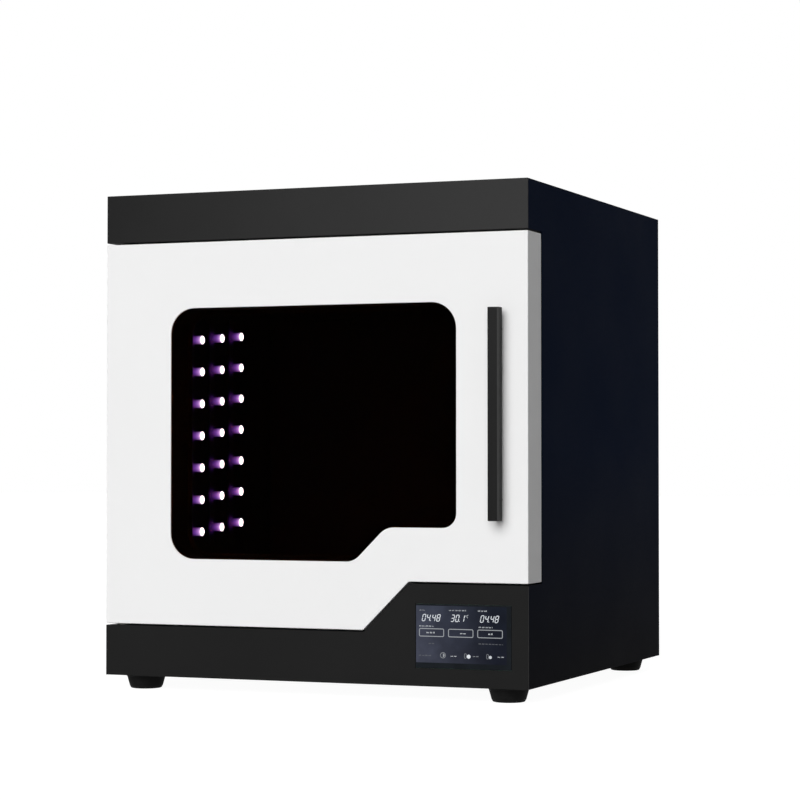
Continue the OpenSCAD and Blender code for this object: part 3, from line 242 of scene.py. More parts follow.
class Form:
    """Collects closed shells in case millimetres and makes one mesh of them."""

    def __init__(self, place: Place) -> None:
        """Starts an empty form.

        Args:
            place: where the case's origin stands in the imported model.
        """
        self.place = place
        self.points: list[Array] = []
        self.values: list[Array] = []
        self.faces: list[list[int]] = []
        self.count = 0

    def loft(self, rings: Array, value: float | Array = 0.0, along: bool = False) -> "Form":
        """Skins a stack of closed rings.

        The surface is p(r, k): quads join ring r to ring r + 1 and point k to point k + 1.
        A stack that doesn't run round on itself is closed by a flat face at each end.

        Args:
            rings: points of (R, K, 3).
            value: the "edge" attribute, one number or an array of (R,) or (R, K).
            along: True where the last ring joins the first.

        Returns:
            This form.
        """
        rings = np.asarray(rings, float)
        r, k = rings.shape[:2]
        index = np.arange(r * k).reshape(r, k) + self.count
        a = index if along else index[:-1]
        b = np.roll(index, -1, 0) if along else index[1:]
        quads = np.stack([a, np.roll(a, -1, 1), np.roll(b, -1, 1), b], -1).reshape(-1, 4)
        self.faces += quads.tolist()
        if not along:
            self.faces += [index[0][::-1].tolist(), index[-1].tolist()]
        value = np.asarray(value, float)
        if value.ndim == 1:
            value = value[:, None]
        self.values.append(np.broadcast_to(value, (r, k)).reshape(-1))
        self.points.append(rings.reshape(-1, 3))
        self.count += r * k
        return self

    def section(self, path: Sequence[tuple], plane: Plane = Plane.FRONT,
                along: bool = False, edge_at: Array | None = None) -> "Form":
        """Lofts rings given as (outline, inset, depth) in a plane.

        Args:
            path: the outline, its inset and its depth for each ring.
            plane: the plane of the outlines.
            along: True where the last ring joins the first.
            edge_at: the "edge" attribute for each ring.

        Returns:
            This form.
        """
        rings = []
        for outline, inset, depth in path:
            ring = outline.ring(inset)
            rings.append(np.concatenate([ring, np.full((len(ring), 1), depth)], 1))
        stack = placed(np.array(rings), plane)
        return self.loft(stack, 0.0 if edge_at is None else edge_at, along)

    def plate(self, outline: Outline | Disc, w0: float, w1: float, edge: float = 0.3,
              plane: Plane = Plane.FRONT, hole: Outline | Disc | None = None,
              steps: int = 3) -> "Form":
        """Adds a plate with rounded edges, and with a hole where one is given.

        Args:
            outline: the rim.
            w0: depth of the first face.
            w1: depth of the second face.
            edge: radius of its edges.
            plane: the plane it lies in.
            hole: the outline of the hole, with as many points as the rim.
            steps: segments in each rounded edge.

        Returns:
            This form.
        """
        rim = rounding(edge, w0, w1, steps)
        path = [(outline, i, w) for i, w in rim]
        worn = [0.0] + [1.0] * (len(rim) - 2) + [0.0]
        if hole is None:
            return self.section(path, plane, False, np.array(worn))
        path += [(hole, -i, w) for i, w in reversed(rim)]
        return self.section(path, plane, True, np.array(worn + worn))

    def block(self, low: Sequence[float], high: Sequence[float], edge: float = 0.3) -> "Form":
        """Adds a box with rounded edges between two corners.

        Args:
            low: its lower X, Y and Z.
            high: its upper X, Y and Z.
            edge: radius of its edges.

        Returns:
            This form.
        """
        radius = max(edge, 0.05)
        return self.plate(rectangle(low[0], high[0], low[1], high[1], radius, 1, 3),
                          low[2], high[2], edge, Plane.PLAN)

    def turned(self, profile: Sequence[Pair], centre: Sequence[float], axis: int,
               count: int = 32, value: float | Array = 0.0, sign: float = 1.0,
               along: bool = False) -> "Form":
        """Turns a profile about an axis.

        p(s, a) = centre + r(s) * (cos a, sin a) across the axis + h(s) along it.

        Args:
            profile: pairs of radius and height.
            centre: a point of the axis.
            axis: 0, 1 or 2 for X, Y or Z.
            count: points round the axis.
            value: the "edge" attribute, one number or one for each pair.
            sign: -1 turns the heights the other way.
            along: True where the profile ends where it starts, as a ring's does.

        Returns:
            This form.
        """
        prof = np.array(profile, float)
        prof[:, 0] = np.maximum(prof[:, 0], POLE)
        a = np.arange(count) * 2 * math.pi / count
        ring = np.zeros((len(prof), count, 3))
        u, v = (axis + 1) % 3, (axis + 2) % 3
        ring[..., u] = prof[:, :1] * np.cos(a)
        ring[..., v] = prof[:, :1] * np.sin(a)
        ring[..., axis] = sign * prof[:, 1:]
        return self.loft(ring + np.array(centre, float), value, along)

    def tube(self, path: Array, radius: float, sides: int = 10, closed: bool = False) -> "Form":
        """Carries a circle along a path.

        At each point the circle lies across the tangent, in the frame of a fixed side
        direction and its cross product with the tangent.

        Args:
            path: points of (N, 3).
            radius: radius of the circle.
            sides: points round it.
            closed: True for a path that ends where it starts.

        Returns:
            This form.
        """
        path = np.asarray(path, float)
        if closed:
            tangent = np.roll(path, -1, 0) - np.roll(path, 1, 0)
        else:
            tangent = np.gradient(path, axis=0)
        tangent /= np.linalg.norm(tangent, axis=1, keepdims=True)
        guide = np.array([0.0, 1.0, 0.0])
        if np.abs(tangent @ guide).max() > 0.9:
            guide = np.array([0.3, 0.2, 1.0])
        side = np.cross(tangent, guide)
        side /= np.linalg.norm(side, axis=1, keepdims=True)
        up = np.cross(side, tangent)
        a = np.arange(sides) * 2 * math.pi / sides
        ring = (path[:, None] + radius * (np.cos(a)[None, :, None] * side[:, None]
                                          + np.sin(a)[None, :, None] * up[:, None]))
        return self.loft(ring, 0.0, closed)

    def shaped(self, polygon: Array, w0: float, w1: float, plane: Plane = Plane.FRONT,
               value: float = 0.0) -> "Form":
        """Adds a flat polygon with straight sides from depth w0 to w1.

        Args:
            polygon: points of (K, 2).
            w0: depth of the first face.
            w1: depth of the second face.
            plane: the plane it lies in.
            value: the "edge" attribute.

        Returns:
            This form.
        """
        polygon = np.asarray(polygon, float)
        rings = [np.concatenate([polygon, np.full((len(polygon), 1), w)], 1) for w in (w0, w1)]
        return self.loft(placed(np.array(rings), plane), value)

    def moved(self, turn: Array, centre: Sequence[float]) -> "Form":
        """Turns every point by a 3 x 3 matrix about a centre.

        Args:
            turn: the matrix.
            centre: the point that stays.

        Returns:
            This form.
        """
        c = np.array(centre, float)
        self.points = [(p - c) @ np.asarray(turn).T + c for p in self.points]
        return self

    def mesh(self, name: str) -> bpy.types.Mesh:
        """Makes the mesh: doubles merged, faces outwards, smooth with sharp edges kept.

        Args:
            name: the mesh's name.

        Returns:
            The mesh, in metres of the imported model.
        """
        mesh = bpy.data.meshes.new(name)
        points = self.place.metres(np.concatenate(self.points))
        mesh.from_pydata(points.tolist(), [], self.faces)
        edge = mesh.attributes.new("edge", "FLOAT", "POINT")
        edge.data.foreach_set("value", np.concatenate(self.values).astype(np.float32))
        work = bmesh.new()
        work.from_mesh(mesh)
        bmesh.ops.remove_doubles(work, verts=work.verts, dist=WELD)
        bmesh.ops.dissolve_degenerate(work, edges=work.edges, dist=SPECK)
        bmesh.ops.recalc_face_normals(work, faces=work.faces)
        work.to_mesh(mesh)
        work.free()
        mesh.shade_smooth()
        mesh.set_sharp_from_angle(angle=SHARP_ANGLE)
        mesh.update()
        return mesh


# Finishes


class Tree:
    """Adds nodes to one material and links them in short calls."""

    def __init__(self, name: str) -> None:
        """Starts a material with a Principled shader.

        Args:
            name: the material's name.
        """
        self.material = bpy.data.materials.new(name)
        self.material.use_nodes = True
        self.nodes = self.material.node_tree.nodes
        self.links = self.material.node_tree.links
        self.shader = next(n for n in self.nodes if n.type == "BSDF_PRINCIPLED")

    def add(self, kind: str, settings: dict | None = None, **values: object) -> bpy.types.Node:
        """Adds a node.

        Args:
            kind: the node's type without ShaderNode.
            settings: properties of the node.
            values: sockets by name, with a number, a colour or an output to link.

        Returns:
            The node.
        """
        node = self.nodes.new("ShaderNode" + kind)
        for key, value in (settings or {}).items():
            setattr(node, key, value)
        for key, value in values.items():
            self.put(node.inputs[key.replace("_", " ")], value)
        return node

    def put(self, socket: bpy.types.NodeSocket, value: object) -> None:
        """Links an output to a socket, or sets the socket's own value.

        Args:
            socket: the socket.
            value: an output, a number or a colour.
        """
        if isinstance(value, bpy.types.NodeSocket):
            self.links.new(value, socket)
        elif isinstance(value, tuple) and len(value) == 3 and socket.type == "RGBA":
            socket.default_value = (*value, 1.0)
        else:
            socket.default_value = value

    def coords(self, scale: Sequence[float] = (1, 1, 1)) -> bpy.types.NodeSocket:
        """Returns Object coordinates, stretched by a scale."""
        out = self.add("TexCoord").outputs["Object"]
        return self.add("Mapping", Vector=out, Scale=tuple(scale)).outputs["Vector"]

    def noise(self, scale: float, detail: float = 3.0, stretch: Sequence[float] = (1, 1, 1),
              roughness: float = 0.55) -> bpy.types.NodeSocket:
        """Returns fractal noise of a scale in features per metre."""
        return self.add("TexNoise", Vector=self.coords(stretch), Scale=scale, Detail=detail,
                        Roughness=roughness).outputs["Fac"]

    def span(self, value: bpy.types.NodeSocket, low: float, high: float,
             start: float = 0.0, stop: float = 1.0) -> bpy.types.NodeSocket:
        """Returns value taken from low..high to start..stop.

        Args:
            value: the output to read.
            low: its value that gives start.
            high: its value that gives stop.
            start: the result at low.
            stop: the result at high.

        Returns:
            The output.
        """
        node = self.add("MapRange", Value=value)
        for key, number in zip(("From Min", "From Max", "To Min", "To Max"),
                               (low, high, start, stop)):
            node.inputs[key].default_value = number
        return node.outputs["Result"]

    def mix(self, factor: object, a: object, b: object,
            mode: str = "MIX") -> bpy.types.NodeSocket:
        """Returns a mix of two colours.

        Args:
            factor: share of the second colour.
            a: the first colour.
            b: the second colour.
            mode: how the second is laid on the first.

        Returns:
            The output.
        """
        node = self.add("Mix", {"data_type": "RGBA", "blend_type": mode})
        self.put(node.inputs[0], factor)
        self.put(node.inputs[6], a)
        self.put(node.inputs[7], b)
        return node.outputs[2]

    def dimmed(self, colour: object, share: bpy.types.NodeSocket) -> bpy.types.NodeSocket:
        """Returns a colour times the same share of red, green and blue."""
        tone = self.add("CombineColor", Red=share, Green=share, Blue=share)
        return self.mix(1.0, colour, tone.outputs["Color"], "MULTIPLY")

    def maths(self, kind: str, a: object, b: object = 0.0) -> bpy.types.NodeSocket:
        """Returns a sum, product or other function of two numbers.

        Args:
            kind: the operation.
            a: the first number.
            b: the second number.

        Returns:
            The output.
        """
        node = self.add("Math", {"operation": kind})
        for socket, value in zip(node.inputs, (a, b)):
            self.put(socket, value)
        return node.outputs[0]

    def times(self, a: object, b: object) -> bpy.types.NodeSocket:
        """Returns the product of two numbers."""
        return self.maths("MULTIPLY", a, b)

    def edge(self) -> bpy.types.NodeSocket:
        """Returns the piece's "edge" attribute."""
        return self.add("Attribute", {"attribute_name": "edge"}).outputs["Fac"]

    def relief(self, height: bpy.types.NodeSocket, depth_mm: float, strength: float = 1.0,
               under: bpy.types.NodeSocket | None = None) -> bpy.types.NodeSocket:
        """Returns a normal bumped by a height, with depth in millimetres.

        Args:
            height: the height, from 0 to 1.
            depth_mm: what a height of 1 stands for.
            strength: share of the bump.
            under: a normal that it is laid on.

        Returns:
            The normal.
        """
        node = self.add("Bump", Height=height, Strength=strength, Distance=depth_mm * MM)
        if under is not None:
            self.put(node.inputs["Normal"], under)
        return node.outputs["Normal"]

    def finish(self, **values: object) -> bpy.types.Material:
        """Sets or links the shader's sockets and returns the material.

        Args:
            values: sockets by name, with a number, a colour or an output to link.

        Returns:
            The material.
        """
        for key, value in values.items():
            self.put(self.shader.inputs[key.replace("_", " ")], value)
        return self.material


def scaled(colour: Colour, factor: float) -> Colour:
    """Returns a colour times a factor."""
    return tuple(min(c * factor, 1.0) for c in colour)


@dataclass(frozen=True)
class PowderCoat:
    """Baked paint on sheet metal: a fine pebbled skin, a little lighter on worn edges and on
    painted highlights.
    """

    name: str
    colour: Colour
    roughness: float = 0.5
    specular: float = 0.5
    pebble: float = 700.0
    depth: float = 0.012
    mottle: float = 0.05
    # share by which edges lighten: real wear, and a painted highlight on the handle's cut
    wear_and_highlight: float = 0.35
    patch: float = 0.15
    # painted light: the colour the coat turns to along run, a painted highlight on the band and
    # a painted floor reflection on the sides
    painted_sheen: Colour | None = None
    run: tuple[str, float, float] = ("X", -0.225, 0.225)
    bare: float = 0.30      # grey that dark paint wears towards, and the grey of the painted highlight on the handle's cut
    dulled: float = 0.86    # share of its colour that pale paint keeps

    def build(self) -> bpy.types.Material:
        """Makes the material: pebbles in the bump, slow mottle and worn edges.

        Where the coat has a painted_sheen colour, its colour turns to that along an axis of the
        case: painted light, a highlight on the band and a reflection of the floor on the sides.

        Returns:
            The material.
        """
        t = Tree(self.name)
        slow = t.noise(9.0, 4.0)
        fine = t.noise(self.pebble, 2.0)
        base: object = self.colour
        # painted light: colour graded along an axis towards painted_sheen, standing for a
        # highlight and a floor reflection
        if self.painted_sheen is not None:
            split = t.add("SeparateXYZ", Vector=t.coords())
            base = t.mix(t.span(split.outputs[self.run[0]], *self.run[1:]), base, self.painted_sheen)
        base = t.dimmed(base, t.span(slow, *MIDDLE, 1 - self.mottle, 1 + self.mottle))
        patches = t.span(t.noise(120.0, 5.0), 0.35, 0.75, self.patch, 1.0)
        # edges lighter: real wear, and on the handle's cut a painted highlight
        worn = t.times(t.times(t.edge(), patches), self.wear_and_highlight)
        base = t.mix(worn, base, tuple(
            (c + self.bare) / 2 if c < self.bare else c * self.dulled for c in self.colour))
        rough = t.maths("ADD", t.span(slow, *MIDDLE, -0.04, 0.04),
                        t.span(fine, *MIDDLE, self.roughness - 0.05, self.roughness + 0.05))
        return t.finish(Base_Color=base, Roughness=rough, Specular_IOR_Level=self.specular,
                        Normal=t.relief(fine, self.depth, 0.6))


@dataclass(frozen=True)
class Moulded:
    """Moulded plastic with a spark-eroded grain."""

    name: str
    colour: Colour
    roughness: float = 0.45
    specular: float = 0.4
    grain: float = 1400.0
    depth: float = 0.01

    def build(self) -> bpy.types.Material:
        """Makes the material: cell grain in the bump and slight flow marks in the colour.

        Returns:
            The material.
        """
        t = Tree(self.name)
        cells = t.add("TexVoronoi", Vector=t.coords(), Scale=self.grain).outputs["Distance"]
        flow = t.noise(25.0, 3.0, (1, 1, 0.3))
        base = t.mix(t.span(flow, *MIDDLE), scaled(self.colour, 0.92),
                     scaled(self.colour, 1.08))
        base = t.mix(t.times(t.edge(), 0.25), base, scaled(self.colour, 1.8))
        rough = t.span(flow, *MIDDLE, self.roughness - 0.05, self.roughness + 0.06)
        return t.finish(Base_Color=base, Roughness=rough, Specular_IOR_Level=self.specular,
                        Normal=t.relief(cells, self.depth, 0.5))


@dataclass(frozen=True)
class Rubber:
    """Moulded rubber or foam: dull, dusty, with a fine uneven skin."""

    name: str
    colour: Colour
    roughness: float = 0.85
    pore: float = 1100.0
    depth: float = 0.03
    bloom: float = 0.35

    def build(self) -> bpy.types.Material:
        """Makes the material: pores in the bump and pale bloom in patches.

        Returns:
            The material.
        """
        t = Tree(self.name)
        skin = t.noise(self.pore, 3.0)
        patch = t.span(t.noise(45.0, 5.0), 0.52, 0.75)
        base = t.mix(t.times(patch, self.bloom), self.colour,
                     tuple(c * 0.5 + 0.02 for c in self.colour))
        base = t.mix(t.times(t.edge(), 0.3), base, tuple(c + 0.015 for c in self.colour))
        return t.finish(Base_Color=base, Roughness=self.roughness, Specular_IOR_Level=0.08,
                        Normal=t.relief(skin, self.depth, 0.7))


@dataclass(frozen=True)
class Metal:
    """Bare or plated metal with marks that run along one axis."""

    name: str
    colour: Colour
    roughness: float = 0.32
    stretch: Triple = (1.0, 1.0, 0.03)
    marks: float = 1500.0
    spangle: float = 0.0

    def build(self) -> bpy.types.Material:
        """Makes the material: drawn marks in the roughness and, if zinc, its spangle.

        Returns:
            The material.
        """
        t = Tree(self.name)
        drawn = t.noise(self.marks, 2.0, self.stretch)
        cloud = t.noise(30.0, 4.0)
        base = t.mix(t.span(cloud, *MIDDLE), scaled(self.colour, 0.9),
                     scaled(self.colour, 1.05))
        if self.spangle > 0:
            facet = t.add("TexVoronoi", Vector=t.coords(), Scale=140.0).outputs["Color"]
            base = t.mix(self.spangle, base, t.mix(0.85, facet, self.colour), "MULTIPLY")
        rough = t.span(drawn, *MIDDLE, self.roughness - 0.08, self.roughness + 0.1)
        return t.finish(Base_Color=base, Metallic=1.0, Roughness=rough,
                        Normal=t.relief(drawn, 0.004, 0.4))


@dataclass(frozen=True)
class Acrylic:
    """Cast acrylic sheet, tinted right through."""

    name: str
    tint: Colour
    ior: float = 1.08
    edge_deep: float = 0.0      # share of a deeper tint at a cut edge

    def build(self) -> bpy.types.Material:
        """Makes the material: clear tint with faint waves and a smear of fine scratches.

        Returns:
            The material.
        """
        t = Tree(self.name)
        wave = t.noise(14.0, 2.0)
        scratch = t.noise(600.0, 2.0, (1, 1, 0.05))
        base = t.mix(t.span(wave, *MIDDLE), scaled(self.tint, 0.96), scaled(self.tint, 1.03))
        base = t.mix(t.times(t.edge(), self.edge_deep), base, scaled(self.tint, 0.35))
        rough = t.span(scratch, 0.55, 0.8, 0.015, 0.09)
        return t.finish(Base_Color=base, Transmission_Weight=1.0, Roughness=rough,
                        IOR=self.ior, Normal=t.relief(wave, 0.05, 0.3))


@dataclass(frozen=True)
class Lens:
    """The lamp's epoxy body, lit from within: violet at its root and white at its tip.

    Its upper and lower sides are dimmer than its middle, by limb times the square of the
    normal's height.
    """

    name: str
    root: Colour = (0.028, 0.012, 0.60)
    body: Colour = (0.17, 0.114, 3.5)
    neck: Colour = (0.48, 0.59, 6.7)
    crown: Colour = (1.2, 2.1, 12.5)
    tip: Colour = (6.0, 14.0, 50.0)
    limb: float = 0.75

    def build(self) -> bpy.types.Material:
        """Makes the material: the "edge" attribute runs from 0 at the root to 1 at the tip.

        Returns:
            The material.
        """
        t = Tree(self.name)
        run = t.maths("ADD", t.edge(), t.span(t.noise(900.0), *MIDDLE, -0.02, 0.02))
        light: object = self.root
        for low, high, colour in ((0.06, 0.45, self.body), (0.45, 0.69, self.neck),
                                  (0.69, 0.84, self.crown), (0.86, 0.90, self.tip)):
            light = t.mix(t.span(run, low, high), light, colour)
        height = t.add("SeparateXYZ", Vector=t.add("TexCoord").outputs["Normal"]).outputs["Z"]
        body = t.span(run, 0.80, 0.90, self.limb, 0.0)
        lost = t.times(body, t.times(height, height))
        light = t.dimmed(light, t.maths("SUBTRACT", 1.0, lost))
        base = t.mix(run, (0.04, 0.03, 0.08), (0.30, 0.28, 0.40))
        return t.finish(Base_Color=base, Roughness=0.12, Specular_IOR_Level=0.2,
                        Emission_Color=light, Emission_Strength=1.0)


@dataclass(frozen=True)
class LampBoard:
    """Black solder mask that takes the violet light of the lamps on it."""

    name: str
    glow: Colour = (0.024, 0.009, 0.52)

    def build(self) -> bpy.types.Material:
        """Makes the material: the "edge" attribute is 1 beside a lamp and falls to 0.

        Returns:
            The material.
        """
        t = Tree(self.name)
        weave = t.noise(500.0, 2.0)
        base = t.mix(t.span(weave, *MIDDLE), (0.0025, 0.0025, 0.0035), (0.004, 0.004, 0.005))
        light = t.mix(t.edge(), (0.0, 0.0, 0.0), self.glow)
        return t.finish(Base_Color=base, Roughness=0.6, Specular_IOR_Level=0.02,
                        Emission_Color=light, Emission_Strength=1.0,
                        Normal=t.relief(weave, 0.01, 0.4))


@dataclass(frozen=True)
class Screen:
    """The lit picture of the display: a blue-grey field that darkens to the right."""

    name: str
    x0: float
    x1: float
    z0: float
    z1: float
    dark_end: float = 0.012      # width of the darkest strip at its right, in metres
    bend: float = 0.70           # below 1, most of the darkening is near its left
    lower: tuple[Colour, Colour] = ((0.066, 0.072, 0.104), (0.007, 0.009, 0.017))
    upper: tuple[Colour, Colour] = ((0.056, 0.064, 0.094), (0.007, 0.010, 0.018))

    def build(self) -> bpy.types.Material:
        """Makes the material: a ramp across, a lighter lower left and the panel's pixels.

        Returns:
            The material.
        """
        t = Tree(self.name)
        split = t.add("SeparateXYZ", Vector=t.coords())
        across = t.span(split.outputs["X"], self.x0, self.x1 - self.dark_end)
        up = t.span(split.outputs["Z"], self.z0, self.z1)
        fade = t.maths("POWER", across, self.bend)
        light = t.mix(up, t.mix(fade, *self.lower), t.mix(fade, *self.upper))
        light = t.dimmed(light, t.span(t.noise(55.0, 3.0), 0.35, 0.7, 0.8, 1.2))
        cells = t.add("TexVoronoi", Vector=t.coords(), Scale=2600.0).outputs["Distance"]
        light = t.mix(t.span(cells, 0.0, 0.6, 0.0, 0.12), light, (0.0, 0.0, 0.0))
        return t.finish(Base_Color=(0.002, 0.002, 0.003), Roughness=0.25,
                        Specular_IOR_Level=0.03, Emission_Color=light, Emission_Strength=1.0)


@dataclass(frozen=True)
class Readout:
    """The lit marks of the display, whose brightness is the "edge" attribute."""

    name: str
    light: Colour = (0.80, 0.84, 0.88)

    def build(self) -> bpy.types.Material:
        """Makes the material: brightness by attribute, with a faint flicker between pixels.

        Returns:
            The material.
        """
        t = Tree(self.name)
        flicker = t.span(t.noise(1500.0, 1.0), *MIDDLE, 0.85, 1.05)
        light = t.mix(t.times(t.edge(), flicker), (0.012, 0.014, 0.02), self.light)
        return t.finish(Base_Color=(0.01, 0.01, 0.012), Roughness=0.4, Specular_IOR_Level=0.05,
                        Emission_Color=light, Emission_Strength=1.0)


@dataclass(frozen=True)
class CircuitBoard:
    """Solder mask over copper traces."""

    name: str
    mask: Colour = (0.010, 0.075, 0.035)

    def build(self) -> bpy.types.Material:
        """Makes the material: traces from stretched cells under a glossy mask.

        Returns:
            The material.
        """
        t = Tree(self.name)
        a = t.add("TexVoronoi", {"feature": "DISTANCE_TO_EDGE"}, Vector=t.coords((1, 0.25, 1)),
                  Scale=380.0).outputs["Distance"]
        trace = t.span(a, 0.03, 0.06, 1.0, 0.0)
        base = t.mix(trace, self.mask, scaled(self.mask, 2.2))
        return t.finish(Base_Color=base, Roughness=0.3, Specular_IOR_Level=0.5,
                        Normal=t.relief(trace, 0.03, 0.6))


@dataclass(frozen=True)
class Glass:
    """Dark cover glass with a printed back and fingertip smears."""

    name: str
    colour: Colour = (0.0065, 0.0085, 0.0110)

    def build(self) -> bpy.types.Material:
        """Makes the material: smears change the gloss.

        Returns:
            The material.
        """
        t = Tree(self.name)
        smear = t.noise(70.0, 5.0, (1, 1, 0.6))
        rough = t.span(smear, 0.4, 0.75, 0.12, 0.28)
        base = t.mix(t.span(smear, 0.4, 0.75), self.colour, scaled(self.colour, 1.5))
        return t.finish(Base_Color=base, Roughness=rough, Specular_IOR_Level=0.05)


Finish = (PowderCoat | Moulded | Rubber | Metal | Acrylic | Lens | LampBoard | Screen
          | Readout | CircuitBoard | Glass)

FINISHES: dict[str, Finish] = {
    # side_paint turns lighter and more neutral towards the bottom: a painted reflection of the
    # floor
    "side_paint": PowderCoat("side_paint", (0.0034, 0.0070, 0.0190), 0.62, 0.004, wear_and_highlight=0.03,
                             painted_sheen=(0.0088, 0.0090, 0.0108), run=("Z", 0.24, 0.02)),
    "front_paint": PowderCoat("front_paint", (0.0130, 0.0130, 0.0130), 0.42, 0.03, wear_and_highlight=0.03),
    "door_paint": PowderCoat("door_paint", (0.86, 0.86, 0.86), 0.42, 0.10, 500.0, 0.005,
                             0.004, 0.3),
    "chamber_paint": PowderCoat("chamber_paint", (0.0025, 0.0025, 0.0028), 0.8, 0.015,
                                wear_and_highlight=0.01),
    "zinc_steel": Metal("zinc_steel", (0.56, 0.57, 0.60), 0.38, spangle=0.25),
    "screw_steel": Metal("screw_steel", (0.50, 0.51, 0.53), 0.30, (1.0, 1.0, 1.0)),
    "bright_wire": Metal("bright_wire", (0.75, 0.76, 0.78), 0.16, (1.0, 1.0, 1.0)),
    "heatsink": Metal("heatsink", (0.70, 0.71, 0.73), 0.34),
    "lamp_board": LampBoard("lamp_board"),
    "lamp_lens": Lens("lamp_lens"),
    "display_glass": Glass("display_glass"),
    "circuit_board": CircuitBoard("circuit_board"),
    "brass": Metal("brass", (0.72, 0.52, 0.22), 0.26, (1.0, 1.0, 1.0)),
    "nylon": Moulded("nylon", (0.80, 0.79, 0.74), 0.5, 0.35),
    "black_plastic": Moulded("black_plastic", (0.020, 0.020, 0.020), 0.5, 0.3),
    "foot_rubber": Rubber("foot_rubber", (0.0045, 0.0045, 0.0045), 0.8),
    "seal_rubber": Rubber("seal_rubber", (0.0100, 0.0100, 0.0100), 0.9, 1600.0, 0.05),
    "amber_acrylic": Acrylic("amber_acrylic", (0.75, 0.28, 0.08), 1.03, 0.5),
    "clear_acrylic": Acrylic("clear_acrylic", (0.93, 0.96, 0.96), 1.30, 0.3),
    # the wear on the handle's cut paints it lighter: a painted highlight
    "handle_black": PowderCoat("handle_black", (0.0126, 0.0126, 0.0126), 0.45, 0.05, wear_and_highlight=0.36,
                               patch=0.8),
}

# the band's paint: a little lighter than front_paint and lighter still towards its right end,
# where the colour is a painted highlight
BAND_WITH_PAINTED_HIGHLIGHT = PowderCoat("band_paint_with_painted_highlight", (0.0168, 0.0168, 0.0168), 0.42, 0.03, wear_and_highlight=0.03,
                  painted_sheen=(0.0372, 0.0372, 0.0372))
LINER = Moulded("liner_black", (0.0022, 0.0022, 0.0024), 0.75, 0.02)


class Workshop:
    """Turns forms into pieces: mesh, finish, body, slot and the CAD nodes they stand for."""

    def __init__(self, frame: dict, place: Place) -> None:
        """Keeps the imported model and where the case's origin stands in it.

        Args:
            place: where the case's origin stands in it.
        """
        self.frame = frame
        self.place = place
        self.made: dict[str, bpy.types.Material] = {}

    def material(self, finish: Finish) -> bpy.types.Material:
        """Returns the finish's material, made once.

        Args:
            finish: the finish.

        Returns:
            Its material.
        """
        if finish.name not in self.made:
            self.made[finish.name] = finish.build()
        return self.made[finish.name]

    def form(self) -> Form:
        """Returns an empty form in case millimetres."""
        return Form(self.place)

    def piece(self, name: str, form: Form, body: Body, slot: str,
              nodes: Sequence[str] = (), finish: Finish | None = None) -> bpy.types.Object:
        """Makes a piece of a form.

        Args:
            name: the piece's name.
            form: its shells.
            body: the body that it rides on.
            slot: the record's material slot.
            nodes: CAD nodes that it stands for.
            finish: a finish other than the slot's own.

        Returns:
            The object.
        """
        obj = bpy.data.objects.new(name, form.mesh(name))
        bpy.context.scene.collection.objects.link(obj)
        obj.data.materials.append(self.material(finish or FINISHES[slot]))
        return self.settle(obj, body, nodes)

    def settle(self, obj: bpy.types.Object, body: Body,
               nodes: Sequence[str]) -> bpy.types.Object:
        """Puts an object on its body and hides the nodes it stands for.

        Args:
            obj: the object.
            body: the body that it rides on.
            nodes: CAD nodes that it stands for.

        Returns:
            The object.
        """
        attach(obj, body.value)
        if nodes:
            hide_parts(*nodes)
        LOG.info("%s: %d faces on %s", obj.name, len(obj.data.polygons), body.value)
        return obj

    def rounded(self, node: str, slot: str, body: Body = Body.CABINET,
                width: float = 0.3, finish: Finish | None = None) -> bpy.types.Object:
        """Copies a CAD node, joins its flat faces and rounds its edges with a Bevel.

        Args:
            node: the CAD node.
            slot: the record's material slot.
            body: the body that it rides on.
            width: width of the rounding in millimetres.
            finish: a finish other than the slot's own.

        Returns:
            The object.
        """
        mesh = self.frame["nodes"][node].data.copy()
        mesh.name = node + "_rounded"
        work = bmesh.new()
        work.from_mesh(mesh)
        bmesh.ops.remove_doubles(work, verts=work.verts, dist=WELD)
        bmesh.ops.dissolve_limit(work, angle_limit=FLAT_ANGLE, verts=work.verts,
                                 edges=work.edges)
        work.to_mesh(mesh)
        work.free()
        mesh.shade_smooth()
        mesh.set_sharp_from_angle(angle=SHARP_ANGLE)
        mesh.materials.clear()
        mesh.materials.append(self.material(finish or FINISHES[slot]))
        obj = bpy.data.objects.new(node + "_rounded", mesh)
        bpy.context.scene.collection.objects.link(obj)
        bevel = obj.modifiers.new("edges", "BEVEL")
        bevel.width = width * MM
        bevel.segments = 2
        bevel.limit_method = "ANGLE"
        bevel.angle_limit = SHARP_ANGLE
        bevel.harden_normals = True
        return self.settle(obj, body, [node])

    def dress(self, slot: str, *nodes: str) -> None:
        """Gives CAD nodes that stay as they are the finish of a slot.

        Args:
            slot: the record's material slot.
            nodes: the CAD nodes.
        """
        for node in nodes:
            data = self.frame["nodes"][node].data
            data.materials.clear()
            data.materials.append(self.material(FINISHES[slot]))
            LOG.info("%s: CAD node with the finish of %s", node, slot)


